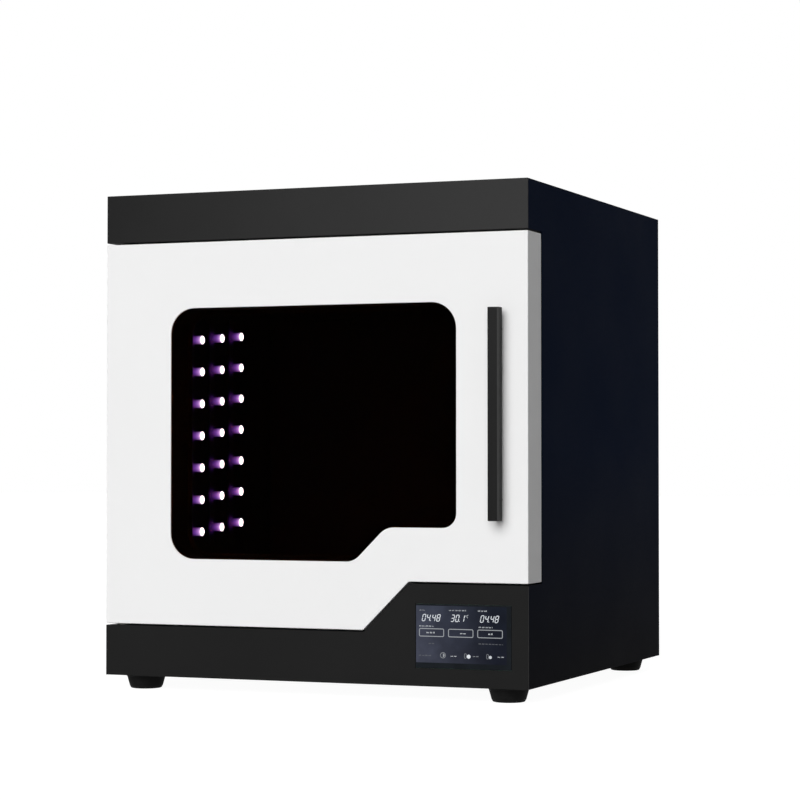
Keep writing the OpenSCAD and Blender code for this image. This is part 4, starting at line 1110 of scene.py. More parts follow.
def cross_screw(form: Form, x: float, z: float, y0: float, radius: float, height: float,
                sign: float = 1.0) -> None:
    """Adds a pan head with a cross recess, facing along sign * Y.

    Rings go from the rim's foot over a rounded shoulder to a cross of twelve corners, and
    then down its walls to a floor; the rim's points stand at the angles of the cross.

    Args:
        form: the form that takes it.
        x, z: its axis.
        y0: the plane it sits on.
        radius: radius of the head.
        height: height of the head.
        sign: 1 for a head that faces the rear, -1 for the front.
    """
    arm, half = radius * 0.58, radius * 0.13
    corners = ((half, half), (half, arm), (-half, arm), (-half, half), (-arm, half),
               (-arm, -half), (-half, -half), (-half, -arm), (half, -arm), (half, -half),
               (arm, -half), (arm, half))
    cross = Outline(tuple((x + a, z + b) for a, b in corners), (half * 0.3,) * 12, 1, 1)
    rim = disc_in(cross, x, z, radius)
    top = y0 + sign * height
    form.section([
        (rim, 0.15, y0), (rim, 0.0, y0 + sign * 0.15), (rim, 0.0, y0 + sign * height * 0.45),
        (rim, radius * 0.10, y0 + sign * height * 0.78),
        (rim, radius * 0.26, top - sign * 0.06), (rim, radius * 0.34, top),
        (cross, -0.05, top), (cross, 0.02, top - sign * 0.06),
        (cross, half * 0.4, top - sign * height * 0.7)])


@dataclass
class Case:
    """The outer sheets, the bulkhead, the feet and their screws."""

    shop: Workshop
    half: float = 225.0
    depth: float = 443.0
    height: float = 481.5
    skin: float = 1.5
    skirt: float = 1.6
    band_z: float = 433.6
    base_h: float = 48.6
    panel_h: float = 96.2
    notch_y: float = 41.8
    foot_h: float = 16.0
    foot_top: float = 20.5
    foot_bottom: float = 16.0
    foot_x: float = 195.0
    foot_y: Pair = (30.0, 412.0)
    screw_x: float = 217.0
    screw_z: Pair = (30.0, 451.5)
    flange: float = 14.0                # width of a side's flange behind the rear panel
    lip_h: float = 10.0                 # height of the top sheet's lips
    lip_y: Pair = (45.5, 440.0)
    groove: float = 0.5                 # depth of the rings in a foot's sole

    def build(self) -> None:
        """Builds every piece of the case."""
        self.sides()
        self.top()
        self.feet()
        self.rear_screws()
        # the top band takes the paint with the painted highlight towards its right end
        self.shop.rounded("top_fascia", "front_paint", width=0.45, finish=BAND_WITH_PAINTED_HIGHLIGHT)
        for node, slot, width in (
                ("base_fascia", "front_paint", 0.45), ("base_pan", "side_paint", 0.3),
                ("rear_panel", "side_paint", 0.35), ("front_frame", "chamber_paint", 0.35)):
            self.shop.rounded(node, slot, width=width)

    def sides(self) -> None:
        """Folds each side sheet: a notched plate and the flange behind the rear panel."""
        front, end = self.skin, self.depth - self.skin
        low, top = -self.skirt, self.height - self.skin
        for name, side, shoulder in (("side_panel_left", -1, self.base_h),
                                     ("side_panel_right", 1, self.panel_h)):
            outline = Outline(((front, low), (end, low), (end, top), (front, top),
                               (front, self.band_z), (self.notch_y, self.band_z),
                               (self.notch_y, shoulder), (front, shoulder)), (0.4,) * 8, 3, 3)
            form = self.shop.form()
            x0, x1 = side * (self.half - self.skin), side * self.half
            form.plate(outline, min(x0, x1), max(x0, x1), 0.45, Plane.SIDE)
            flange = side * (self.half - self.flange)
            form.block((min(x0, flange), end - self.skin, self.skin),
                       (max(x0, flange), end, top), 0.3)
            self.shop.piece(name + "_sheet", form, Body.CABINET, "side_paint", [name])

    def top(self) -> None:
        """Lays the top sheet with a lip inside each side."""
        form = self.shop.form()
        top, inner = self.height - self.skin, self.half - self.skin
        form.plate(rectangle(-self.half, self.half, self.skin, self.depth - self.skin, 0.5),
                   top, self.height, 0.5, Plane.PLAN)
        for side in (-1, 1):
            x0, x1 = side * inner, side * (inner - self.skin)
            form.block((min(x0, x1), self.lip_y[0], top - self.lip_h),
                       (max(x0, x1), self.lip_y[1], top), 0.2)
        self.shop.piece("top_sheet", form, Body.CABINET, "side_paint", ["top_cover"])

    def feet(self) -> None:
        """Turns four feet with a rolled lip, ringed sole and recessed screw."""
        low, slope = -self.foot_h, (self.foot_top - self.foot_bottom) / self.foot_h
        sunk, base, lip = low + self.groove, self.foot_bottom, self.foot_top
        bore = [(0, -6.2), (5.3, -6.2), (5.5, -6.5), (5.5, sunk), (6.0, low)]
        sole = [(8.0, low), (8.3, sunk), (9.2, sunk), (9.5, low),
                (11.4, low), (11.7, sunk), (12.6, sunk), (12.9, low)]
        heel = [(base - 1.6, low), (base - 0.8, low + 0.25), (base - 0.2, low + 0.9),
                (base + 0.2, low + 1.9)]
        wall = [(base + slope * h, low + h) for h in (2.4, 5.0, 8.0, 11.2)]
        rolled = [(lip - 1.0, -4.1), (lip - 0.9, -3.9), (lip - 0.4, -3.6), (lip, -3.2),
                  (lip, -0.5), (lip - 0.4, -0.05), (0, -0.05)]
        profile = bore + sole + heel + wall + rolled
        worn = np.array([0.0] * len(bore + sole) + [0.5, 1.0, 1.0, 0.5]
                        + [0.0] * (len(wall) + 2) + [0.6, 1.0, 0.6, 0.2, 0.0])
        form, screws = self.shop.form(), self.shop.form()
        head = [(0, -9.6), (1.5, -9.6), (1.5, -9.25), (3.9, -9.25), (4.5, -8.6), (4.5, -6.2),
                (2.5, -6.2), (2.5, 6.5), (0, 6.5)]
        nut = [(0, 1.5), (4.3, 1.5), (4.5, 1.8), (4.5, 5.2), (4.3, 5.5), (0, 5.5)]
        for x in (-self.foot_x, self.foot_x):
            for y in self.foot_y:
                form.turned(profile, (x, y, 0), 2, 56, worn)
                screws.turned(head, (x, y, 0), 2, 24)
                screws.turned(nut, (x, y, 0), 2, 6)
        self.shop.piece("rubber_feet", form, Body.CABINET, "foot_rubber", ["feet"])
        self.shop.piece("foot_fixings", screws, Body.CABINET, "screw_steel", ["foot_screws"])

    def rear_screws(self) -> None:
        """Sets eight cross-head screws in the rear panel's edges."""
        form = self.shop.form()
        shank = [(0, -4.5), (1.3, -4.3), (1.5, -4.0), (1.5, 0.2), (0, 0.2)]
        for x in (-self.screw_x, self.screw_x):
            for z in np.linspace(*self.screw_z, 4):
                cross_screw(form, x, z, self.depth, 2.8, 1.8)
                form.turned(shank, (x, self.depth, z), 1, 12)
        self.shop.piece("rear_screws_turned", form, Body.CABINET, "screw_steel",
                        ["rear_screws"])


@dataclass
class Door:
    """The white door with its window, seal, handle and hinge parts."""

    shop: Workshop
    half: float = 225.0
    z0: float = 50.4
    z_step: float = 98.0
    z1: float = 431.8
    bend_x: Pair = (55.954, 103.554)
    thick: float = 40.0
    skin: float = 1.5
    rear_r: float = 6.0
    edge: float = 0.8
    handle_x: float = 196.4
    handle_half: float = 5.65
    handle_cut: float = 1.4
    handle_y: Pair = (-18.0, -8.0)
    handle_z: Pair = (157.3, 358.9)
    post_z: Pair = (177.3, 338.9)
    post_r: float = 3.0
    hinge: Pair = (-215.0, 20.0)
    pin_r: float = 3.0
    pin_z: tuple[Pair, Pair] = ((39.6, 65.9), (416.3, 442.6))
    window_half: float = 152.4
    window_z: Triple = (116.2, 149.8, 366.0)    # lower edge, step and upper edge
    window_bend: Pair = (46.2, 79.8)
    pane_z: Pair = (0.2, 4.3)                   # depths of the pane's front and back
    pane_gap: float = 0.3                       # between the pane and the skin round it
    pane_edge: float = 0.5
    lap: float = 6.0                            # of the pane's flange behind the skin
    mouth_half: float = 177.5
    mouth_z: Pair = (110.5, 413.5)
    seal_t: float = 1.5
    side_y: tuple[float, ...] = (20.0, 34.0, 35.2, 36.4, 37.5)

    @property
    def outline(self) -> Outline:
        """The door's front seen from outside.

        Returns:
            The outline, of X and Z.
        """
        x, (b0, b1) = self.half, self.bend_x
        return Outline(((-x, self.z0), (b0, self.z0), (b1, self.z_step), (x, self.z_step),
                        (x, self.z1), (-x, self.z1)), (0.8, 1.0, 1.0, 0.8, 0.8, 0.8), 6, 10)

    @property
    def window(self) -> Outline:
        """The window's outline.

        Returns:
            The outline, of X and Z.
        """
        x, (z0, step, z1), (b0, b1) = self.window_half, self.window_z, self.window_bend
        return Outline(((-x, z0), (b0, z0), (b1, step), (x, step), (x, z1), (-x, z1)),
                       (25.5, 20.0, 20.0, 14.0, 25.5, 25.5), 6, 10)

    def build(self) -> None:
        """Builds every piece of the door."""
        self.shell()
        self.glazing()
        self.seal()
        self.handle()
        self.hinges()
        self.shop.rounded("door_back_panel", "chamber_paint", Body.DOOR, 0.3)

    def shell(self) -> None:
        """Folds the door's skin.

        Rings run from the window's rounded edge over the face and the rounded front edge,
        back along the four sides, round the open rim and forward inside. Its rear edge on
        the hinge's side is rounded too: there x is held at least
        rear_r - sqrt((rear_r - inset)^2 - (y - (thick - rear_r))^2) from the side.
        """
        face, hole = self.outline, self.window
        rim, back, r, r_hole, r_in, r_rim = (self.thick - self.skin, self.skin, self.edge,
                                             0.5, 0.2, 0.25)
        a = np.linspace(0, math.pi / 2, 5)
        path: list[tuple] = [(hole, -(r_hole + HOLD), 0.0), (face, r + HOLD, 0.0)]
        path += [(face, r * (1 - math.sin(t)), r * (1 - math.cos(t))) for t in a]
        path += [(face, 0.0, y) for y in (r + HOLD, *self.side_y)]
        path += [(face, 0.0, rim - r_rim), (face, r_rim, rim),
                 (face, self.skin - r_rim, rim), (face, self.skin, rim - r_rim)]
        path += [(face, self.skin, y) for y in (self.side_y[3], self.side_y[1], back)]
        path += [(hole, -(r_in + HOLD), back), (hole, -r_in, back),
                 (hole, 0.0, back - r_in), (hole, 0.0, r_hole)]
        path += [(hole, -r_hole * (1 - math.cos(t)), r_hole * (1 - math.sin(t)))
                 for t in a[1:]]
        rings, worn = [], []
        for outline, inset, y in path:
            ring = outline.ring(inset)
            if outline is face and y > self.thick - self.rear_r:
                run = (self.rear_r - inset) ** 2 - (y - self.thick + self.rear_r) ** 2
                least = -self.half + self.rear_r - math.sqrt(max(run, 0.0))
                ring[:, 0] = np.maximum(ring[:, 0], least)
            rings.append(np.stack([ring[:, 0], np.full(len(ring), y), ring[:, 1]], 1))
            worn.append(1.0 if outline is face and 0 < inset < r else 0.0)
        form = self.shop.form().loft(np.array(rings), np.array(worn), True)
        self.shop.piece("door_skin", form, Body.DOOR, "door_paint", ["door_shell"])

    def glazing(self) -> None:
        """Builds the stepped pane, its gasket and the surround behind it."""
        w, gap, r, lap, (y0, y1) = (self.window, self.pane_gap, self.pane_edge, self.lap,
                                    self.pane_z)
        pane = self.shop.form()
        a = np.linspace(0, math.pi / 2, 4)
        path: list[tuple] = [(w, gap + r + HOLD, y0)]
        path += [(w, gap + r * (1 - math.sin(t)), y0 + r * (1 - math.cos(t))) for t in a]
        path += [(w, gap, 1.8), (w, 0.2 - lap, 1.8), (w, -lap, 2.0), (w, -lap, y1 - 0.2),
                 (w, 0.2 - lap, y1), (w, 0.6 - lap, y1)]
        pane.section(path, edge_at=np.array([0, 0, 1, 1, 1, 1, 1, 1, 1, 1, 0]))
        self.shop.piece("amber_pane", pane, Body.DOOR, "amber_acrylic", ["window_pane"])
        gasket = self.shop.form()
        gasket.section([(w, -lap, y1), (w, -lap, 6.3), (w, -0.6, 6.3), (w, -0.1, 5.9),
                        (w, 0.0, 5.3), (w, -0.1, 4.7), (w, -0.6, y1)], along=True)
        self.shop.piece("pane_gasket", gasket, Body.DOOR, "seal_rubber", ["window_gasket"])
        frame = self.shop.form()
        frame.section([(w, 0.0, 6.6), (w, -0.3, 6.3), (w, -7.7, 6.3), (w, -8.0, 6.6),
                       (w, -8.0, 8.0), (w, -7.7, 8.3), (w, -3.5, 8.3), (w, -3.0, 8.8),
                       (w, -3.0, 38.2), (w, -2.8, 38.5), (w, -0.3, 38.5), (w, 0.0, 38.2)],
                      along=True)
        self.shop.piece("window_liner", frame, Body.DOOR, "black_plastic", ["window_surround"],
                        LINER)

    def seal(self) -> None:
        """Runs the foam seal round the mouth: a rounded strip with two ribs."""
        mouth = rectangle(-self.mouth_half, self.mouth_half, *self.mouth_z, 1.0, 4, 4)
        form = self.shop.form()
        y0, y1 = self.thick, self.thick + self.seal_t
        strip = [(0.0, y0), (0.0, y0 + 0.9), (-0.4, y1 - 0.1), (-1.2, y1), (-3.0, y1),
                 (-3.6, y1 - 0.4), (-4.4, y1 - 0.4), (-5.0, y1), (-6.8, y1), (-7.6, y1 - 0.1),
                 (-8.0, y0 + 0.9), (-8.0, y0)]
        form.section([(mouth, i, y) for i, y in strip], along=True)
        self.shop.piece("foam_seal", form, Body.DOOR, "seal_rubber", ["door_seal"])

    def handle(self) -> None:
        """Builds the bar with a painted highlight on its bevel, and its two posts and screws.

        The bar's section is a rectangle whose front edge towards the door's free side is cut at
        45 degrees; the cut has the "edge" attribute 1, which its coat paints lighter: a painted
        highlight.
        """
        x, h, (y0, y1), cut = self.handle_x, self.handle_half, self.handle_y, self.handle_cut
        outline = Outline(((x - h, y0), (x + h - cut, y0), (x + h, y0 + cut), (x + h, y1),
                           (x - h, y1)), (0.5, 0.15, 0.15, 0.6, 0.6), 3, 4)
        form = self.shop.form()
        rings = []
        for i, z in rounding(0.4, *self.handle_z, 4):
            ring = outline.ring(i)
            rings.append(np.concatenate([ring, np.full((len(ring), 1), z)], 1))
        stack = np.array(rings)
        on_cut = np.abs((stack[..., 0] - x - h + cut) - (stack[..., 1] - y0)) < 0.3
        near = (stack[..., 0] > x + h - cut - 0.2) & (stack[..., 1] < y0 + cut + 0.2)
        # the cut's edge value of 1 paints it lighter: a painted highlight
        form.loft(stack, np.where(on_cut & near, 1.0, 0.0))
        self.shop.piece("handle_grip", form, Body.DOOR, "handle_black", ["handle_bar"])
        posts, screws = self.shop.form(), self.shop.form()
        r = self.post_r
        post = [(0, y1), (r - 0.4, y1), (r, y1 + 0.4), (r, -0.3), (r - 0.3, 0.0), (0, 0.0)]
        shank = [(0, -12.0), (1.2, -12.0), (1.5, -11.6), (1.5, 1.6), (0, 1.6)]
        for z in self.post_z:
            posts.turned(post, (x, 0, z), 1, 28)
            cross_screw(screws, x, z, self.skin, 3.0, 2.0)
            screws.turned(shank, (x, 0, z), 1, 16)
        self.shop.piece("handle_posts_turned", posts, Body.DOOR, "handle_black",
                        ["handle_posts"])
        self.shop.piece("handle_screws_turned", screws, Body.DOOR, "screw_steel",
                        ["handle_screws"])

    def hinges(self) -> None:
        """Turns the hinge pins, and rounds their blocks and the strike plate."""
        (x, y), r = self.hinge, self.pin_r
        form = self.shop.form()
        for low, high in self.pin_z:
            form.turned([(0, low), (r - 0.4, low), (r, low + 0.5), (r, high - 0.5),
                         (r - 0.4, high), (0, high)], (x, y, 0), 2, 28)
        self.shop.piece("hinge_pins_turned", form, Body.DOOR, "screw_steel", ["hinge_pins"])
        self.shop.rounded("hinge_blocks", "zinc_steel", Body.DOOR, 0.4)
        self.shop.rounded("strike_plate", "zinc_steel", Body.DOOR, 0.25)
        self.shop.dress("zinc_steel", "door_magnet")


@dataclass
class Lamps:
    """Two walls of lamps on narrow boards."""

    shop: Workshop
    wall: float = 194.0
    board_t: float = 1.6
    board_half: float = 6.0
    board_end: float = 18.0
    rows: int = 7
    pitch: float = 33.6
    strips: tuple[float, ...] = (126.0, 173.0, 220.0)
    rise: float = 3.8
    low: float = 139.2
    radius: float = 4.4
    rim: float = 5.2
    length: float = 13.6
    dome: float = 2.0
    reach: float = 1.3                  # how fast a lamp's light on its board falls
    shade: tuple[float, ...] = (0.0, 0.6, 0.8)
    board_steps: int = 180
    board_points: int = 13

    def build(self) -> None:
        """Builds the lamps and boards of both walls."""
        for name, side in (("left", -1), ("right", 1)):
            self.lenses(name, side)
            self.boards(name, side)

    def heights(self, k: int) -> Array:
        """Returns the heights of the lamps of strip k."""
        return self.low + k * self.rise + np.arange(self.rows) * self.pitch

    def lenses(self, name: str, side: int) -> None:
        """Turns each lamp: a flange, a body and a dome (r cos a, length + dome (sin a - 1)).

        The "edge" attribute is the share t of the lamp's length, less t * shade * (1 - t)^2
        on the strips that stand deeper in the cabinet.

        Args:
            name: left or right.
            side: -1 for the left wall, 1 for the right.
        """
        r, length = self.radius, self.length
        a = np.linspace(0, math.pi / 2, 7)
        body = [(0, 0), (self.rim, 0), (self.rim, 0.8), (r, 1.0), (r, 4.0), (r, 7.0), (r, 9.6)]
        profile = body + [
            (r * math.cos(t), length + self.dome * (math.sin(t) - 1)) for t in a]
        share = np.array([h for _, h in profile]) / length
        form = self.shop.form()
        for k, (y, shade) in enumerate(zip(self.strips, self.shade)):
            lit = share * (1 - shade * (1 - share) ** 2)
            for z in self.heights(k):
                form.turned(profile, (side * (self.wall - self.board_t), y, z), 0, 20, lit,
                            -side)
        self.shop.piece("lamp_lenses_" + name, form, Body.CABINET, "lamp_lens",
                        ["lamps_" + name])

    def boards(self, name: str, side: int) -> None:
        """Lofts each board up its length, with the light of its lamps on its face.

        The glow at a point is exp(-(d - rim) / reach), with d its distance from the nearest
        lamp's axis.

        Args:
            name: left or right.
            side: -1 for the left wall, 1 for the right.
        """
        form = self.shop.form()
        half, count = self.board_half, self.board_points
        loop_y = np.concatenate([np.linspace(-half, half, count), [half, -half]])
        loop_x = np.concatenate([np.full(count, self.wall - self.board_t), [self.wall] * 2])
        for k, y in enumerate(self.strips):
            z_lamps = self.heights(k)
            z = np.linspace(z_lamps[0] - self.board_end, z_lamps[-1] + self.board_end,
                            self.board_steps)
            rings = np.zeros((len(z), len(loop_y), 3))
            rings[..., 0] = side * loop_x
            rings[..., 1] = y + loop_y
            rings[..., 2] = z[:, None]
            away = np.abs(z[:, None] - z_lamps[None]).min(1)
            d = np.sqrt(away[:, None] ** 2 + loop_y[None] ** 2)
            glow = np.exp(-np.maximum(d - self.rim, 0) / self.reach)
            glow[:, count:] = 0
            form.loft(rings, glow)
        self.shop.piece("lamp_boards_lit_" + name, form, Body.CABINET, "lamp_board",
                        ["lamp_boards_" + name])


@dataclass
class Display:
    """The touch display: glass, lit picture and its marks."""

    shop: Workshop
    glass: tuple[float, float, float, float] = (111.0, 208.0, 16.0, 77.0)
    lit: tuple[float, float, float, float] = (111.5, 203.4, 21.3, 75.6)
    glass_t: float = 2.0
    proud: float = 0.05
    columns: tuple[float, ...] = (114.5, 144.3, 173.9)
    column_w: float = 25.6
    figure_z: float = 61.0
    figure_h: float = 6.2
    figure_w: float = 0.46              # a figure's width, and the next three, over its height
    figure_pitch: float = 0.755
    figure_line: float = 0.058          # half the thickness of a segment
    point_w: float = 0.12
    segment_gap: float = 0.10
    slant: float = 0.22
    button_z: Pair = (46.0, 54.0)
    stroke_w: Pair = (0.35, 0.40)       # least width of a caption's mark, and what is added
    stroke_gap: float = 0.28
    mark_back: float = 0.1              # depth in the glass at which a mark ends

    def build(self) -> None:
        """Builds the glass, the picture and the marks."""
        x0, x1, z0, z1 = self.glass
        form = self.shop.form().plate(rectangle(x0, x1, z0, z1, 0.8), 0.0, self.glass_t, 0.3)
        self.shop.piece("cover_glass", form, Body.CABINET, "display_glass", ["display_glass"])
        x0, x1, z0, z1 = self.lit
        corners = self.shop.place.metres(np.array([[x0, 0, z0], [x1, 0, z1]]))
        screen = Screen("lit_picture", corners[0, 0], corners[1, 0], corners[0, 2],
                        corners[1, 2])
        form = self.shop.form().plate(rectangle(x0, x1, z0, z1, 0.4), -self.proud * 0.4,
                                      0.2, 0.01)
        self.shop.piece("lit_picture", form, Body.CABINET, "display_glass", finish=screen)
        self.marks()

    def mark(self, form: Form, polygon: Array, light: float) -> None:
        """Adds a flat lit mark of a brightness."""
        form.shaped(polygon, -self.proud, self.mark_back, value=light)

    def digits(self, form: Form, text: str, x: float, z: float, high: float) -> None:
        """Writes slanted seven-segment figures.

        Each segment is a bar with pointed ends; x is moved by slant * height above the foot.

        Args:
            form: the form that takes them.
            text: figures and points.
            x: left end of the first figure.
            z: foot of the figures.
            high: their height.
        """
        lit = {"0": "abcdef", "1": "bc", "3": "abcdg", "4": "bcfg", "8": "abcdefg",
               "C": "adef"}
        wide, half, gap = high * self.figure_w, high * self.figure_line, self.segment_gap
        rows = {"a": high, "g": high / 2, "d": 0.0}
        sides = {"b": (wide, high / 2), "c": (wide, 0.0), "e": (0.0, 0.0), "f": (0.0, high / 2)}
        cursor = x
        for figure in text:
            if figure == ".":
                foot = cursor - high * self.point_w
                point = [(foot - half, 0), (foot + half, 0), (foot + half, 2 * half),
                         (foot - half, 2 * half)]
                self.mark(form, self.lean(np.array(point), z), 1.0)
                cursor += high * self.point_w
                continue
            for name in lit[figure]:
                if name in rows:
                    y = rows[name]
                    bar = [(gap, y), (half + gap, y - half), (wide - half - gap, y - half),
                           (wide - gap, y), (wide - half - gap, y + half),
                           (half + gap, y + half)]
                else:
                    at, foot = sides[name]
                    top = foot + high / 2
                    bar = [(at, foot + gap), (at + half, foot + half + gap),
                           (at + half, top - half - gap), (at, top - gap),
                           (at - half, top - half - gap), (at - half, foot + half + gap)]
                self.mark(form, self.lean(np.array(bar) + [cursor, 0], z), 1.0)
            cursor += high * self.figure_pitch

    def lean(self, polygon: Array, z: float) -> Array:
        """Returns a figure's polygon leaned to the right and stood on height z.

        Args:
            polygon: points of (K, 2) above the figure's foot.
            z: height of the foot.

        Returns:
            The points, leaned by slant.
        """
        polygon = polygon.copy()
        polygon[:, 0] += self.slant * polygon[:, 1]
        polygon[:, 1] += z
        return polygon

    def strokes(self, form: Form, x0: float, x1: float, z: float, high: float, light: float,
                beat: float) -> None:
        """Adds a row of small marks that stands for a caption.

        Mark n is 0.35 to 0.75 mm wide by the fractional part of beat * (n + 1), and every
        fourth one is left out as a space.

        Args:
            form: the form that takes them.
            x0: where the row starts.
            x1: where it ends.
            z: its foot.
            high: its greatest height.
            light: the marks' brightness, from 0 to 1.
            beat: the number that spreads the marks' widths and heights.
        """
        x, n = x0, 0
        while x < x1:
            share = (beat * (n + 1)) % 1.0
            wide = self.stroke_w[0] + self.stroke_w[1] * share
            if n % 4 != 3:
                tall = high * (0.6 + 0.4 * ((beat * 1.7 * (n + 2)) % 1.0))
                self.mark(form, np.array([[x, z], [x + wide, z], [x + wide, z + tall],
                                          [x, z + tall]]), light)
            x += wide + self.stroke_gap
            n += 1

    def ring(self, form: Form, x0: float, x1: float, z0: float, z1: float, line: float,
             radius: float, light: float) -> None:
        """Adds an outlined rounded box.

        Args:
            form: the form that takes it.
            x0: its left side.
            x1: its right side.
            z0: its foot.
            z1: its top.
            line: thickness of the line.
            radius: radius of its corners.
            light: its brightness, from 0 to 1.
        """
        rim = rectangle(x0, x1, z0, z1, radius, 2, 5)
        y0, y1 = -self.proud, self.mark_back
        form.section([(rim, 0.0, y1), (rim, 0.0, y0), (rim, line, y0), (rim, line, y1)],
                     along=True, edge_at=np.full(4, light))

    def spot(self, form: Form, x: float, z: float, radius: float, light: float) -> None:
        """Adds a round lit spot.

        Args:
            form: the form that takes it.
            x: X of its middle.
            z: Z of its middle.
            radius: its radius.
            light: its brightness, from 0 to 1.
        """
        rim = disc(x, z, radius, 24)
        form.section([(rim, 0.0, self.mark_back), (rim, 0.0, -self.proud)],
                     edge_at=np.full(2, light))

    def marks(self) -> None:
        """Lays out the figures, buttons, captions and icons."""
        form = self.shop.form()
        a, b, c = self.columns
        for x, text in ((a + 3.0, "04.48"), (b + 2.6, "30.1"), (c + 2.8, "04.48")):
            self.digits(form, text, x, self.figure_z, self.figure_h)
        self.ring(form, b + 17.6, b + 18.7, 66.0, 67.1, 0.25, 0.5, 0.7)
        self.digits(form, "C", b + 19.0, 64.8, 2.6)
        for x in self.columns:
            self.ring(form, x, x + self.column_w, *self.button_z, 0.75, 1.6, 0.42)
        for x0, x1, z, high, light, beat in (
                (a + 0.4, a + 5.6, 70.6, 1.3, 0.25, 0.37),
                (b + 0.8, b + 17.5, 71.0, 1.3, 0.5, 0.61),
                (c + 0.6, c + 9.2, 71.0, 1.4, 0.65, 0.43),
                (a + 0.2, a + 14.5, 55.5, 1.3, 0.55, 0.53),
                (c + 1.4, c + 15.4, 55.6, 1.3, 0.6, 0.71),
                (a + 7.6, a + 16.0, 49.2, 1.6, 0.65, 0.47),
                (b + 12.2, b + 18.2, 49.2, 1.6, 0.7, 0.59),
                (c + 11.0, c + 15.5, 49.2, 1.6, 0.8, 0.67),
                (a + 9.8, a + 16.0, 39.2, 1.0, 0.12, 0.31),
                (c + 1.4, c + 25.4, 40.0, 1.0, 0.14, 0.57),
                (147.0, 152.0, 27.6, 0.9, 0.85, 0.41),
                (169.3, 175.3, 28.0, 1.0, 0.35, 0.63),
                (194.4, 200.0, 28.0, 1.1, 0.55, 0.49),
                (114.4, 127.6, 27.6, 1.0, 0.14, 0.69)):
            self.strokes(form, x0, x1, z, high, light, beat)
        self.ring(form, 136.2, 141.8, 25.8, 31.4, 0.6, 2.6, 0.30)
        half = np.linspace(-math.pi / 2, math.pi / 2, 13)
        half_disc = np.stack([139.0 + 1.7 * np.cos(half), 28.6 + 1.7 * np.sin(half)], 1)
        self.mark(form, half_disc, 0.4)
        self.spot(form, 165.1, 28.1, 1.9, 1.0)
        self.spot(form, 187.0, 28.0, 1.5, 0.75)
        self.ring(form, 160.6, 163.0, 26.2, 31.0, 0.5, 1.0, 0.25)
        self.ring(form, 183.0, 185.4, 26.2, 31.0, 0.5, 1.0, 0.22)
        self.shop.piece("display_marks", form, Body.CABINET, "display_glass",
                        finish=Readout("display_marks"))


@dataclass
class Chamber:
    """The chamber's liner, the turntable and the parts that show beside them."""

    shop: Workshop
    centre: Pair = (0.0, 183.5)
    plate_r: float = 120.0
    plate_z: Pair = (96.3, 100.3)
    hub_r: float = 20.0
    hub_z: Pair = (92.8, 96.3)
    shaft_r: float = 4.0
    shaft_z: float = 69.0
    shaft_gap: float = 0.05

    def build(self) -> None:
        """Builds the liner, the turntable, the catch and the small parts beside them."""
        for node in ("chamber_wall_left", "chamber_wall_right", "chamber_back",
                     "chamber_ceiling", "chamber_floor"):
            self.shop.rounded(node, "chamber_paint", width=0.25)
        self.turntable()
        self.shop.dress("nylon", "turntable_bush", "hinge_bushes", "reed_switch")
        self.shop.rounded("magnetic_catch", "black_plastic", width=0.4)
        self.shop.dress("screw_steel", "temperature_probe")

    def turntable(self) -> None:
        """Turns the clear plate with its polished rim, and the hub with its shaft."""
        x, y = self.centre
        (z0, z1), r = self.plate_z, self.plate_r
        form = self.shop.form()
        bore = self.shaft_r + self.shaft_gap
        form.turned([(bore, z0), (bore, z1), (bore + 0.4, z1), (r - 4.0, z1), (r - 1.2, z1),
                     (r - 0.4, z1 - 0.3), (r, z1 - 1.2), (r, z0 + 1.2), (r - 0.4, z0 + 0.3),
                     (r - 1.2, z0), (r - 4.0, z0), (bore + 0.4, z0)], (x, y, 0), 2, 96,
                    np.array([0, 0, 0, 0, 1, 1, 1, 1, 1, 1, 0, 0]), along=True)
        self.shop.piece("turntable_disc", form, Body.TURNTABLE, "clear_acrylic",
                        ["turntable_plate"])
        hub = self.shop.form()
        (h0, h1), s, hr, low = self.hub_z, self.shaft_r, self.hub_r, self.shaft_z
        hub.turned([(0, low), (s - 0.4, low), (s, low + 0.4), (s, h0), (hr - 0.4, h0),
                    (hr, h0 + 0.4), (hr, h1 - 0.3), (hr - 0.3, h1), (s, h1), (s, z1 - 0.4),
                    (s - 0.4, z1), (0, z1)], (x, y, 0), 2, 48,
                   np.array([0, 0, 1, 0, 1, 1, 1, 1, 0, 1, 1, 0]))
        self.shop.piece("turntable_hub_turned", hub, Body.TURNTABLE, "screw_steel",
                        ["turntable_hub"])


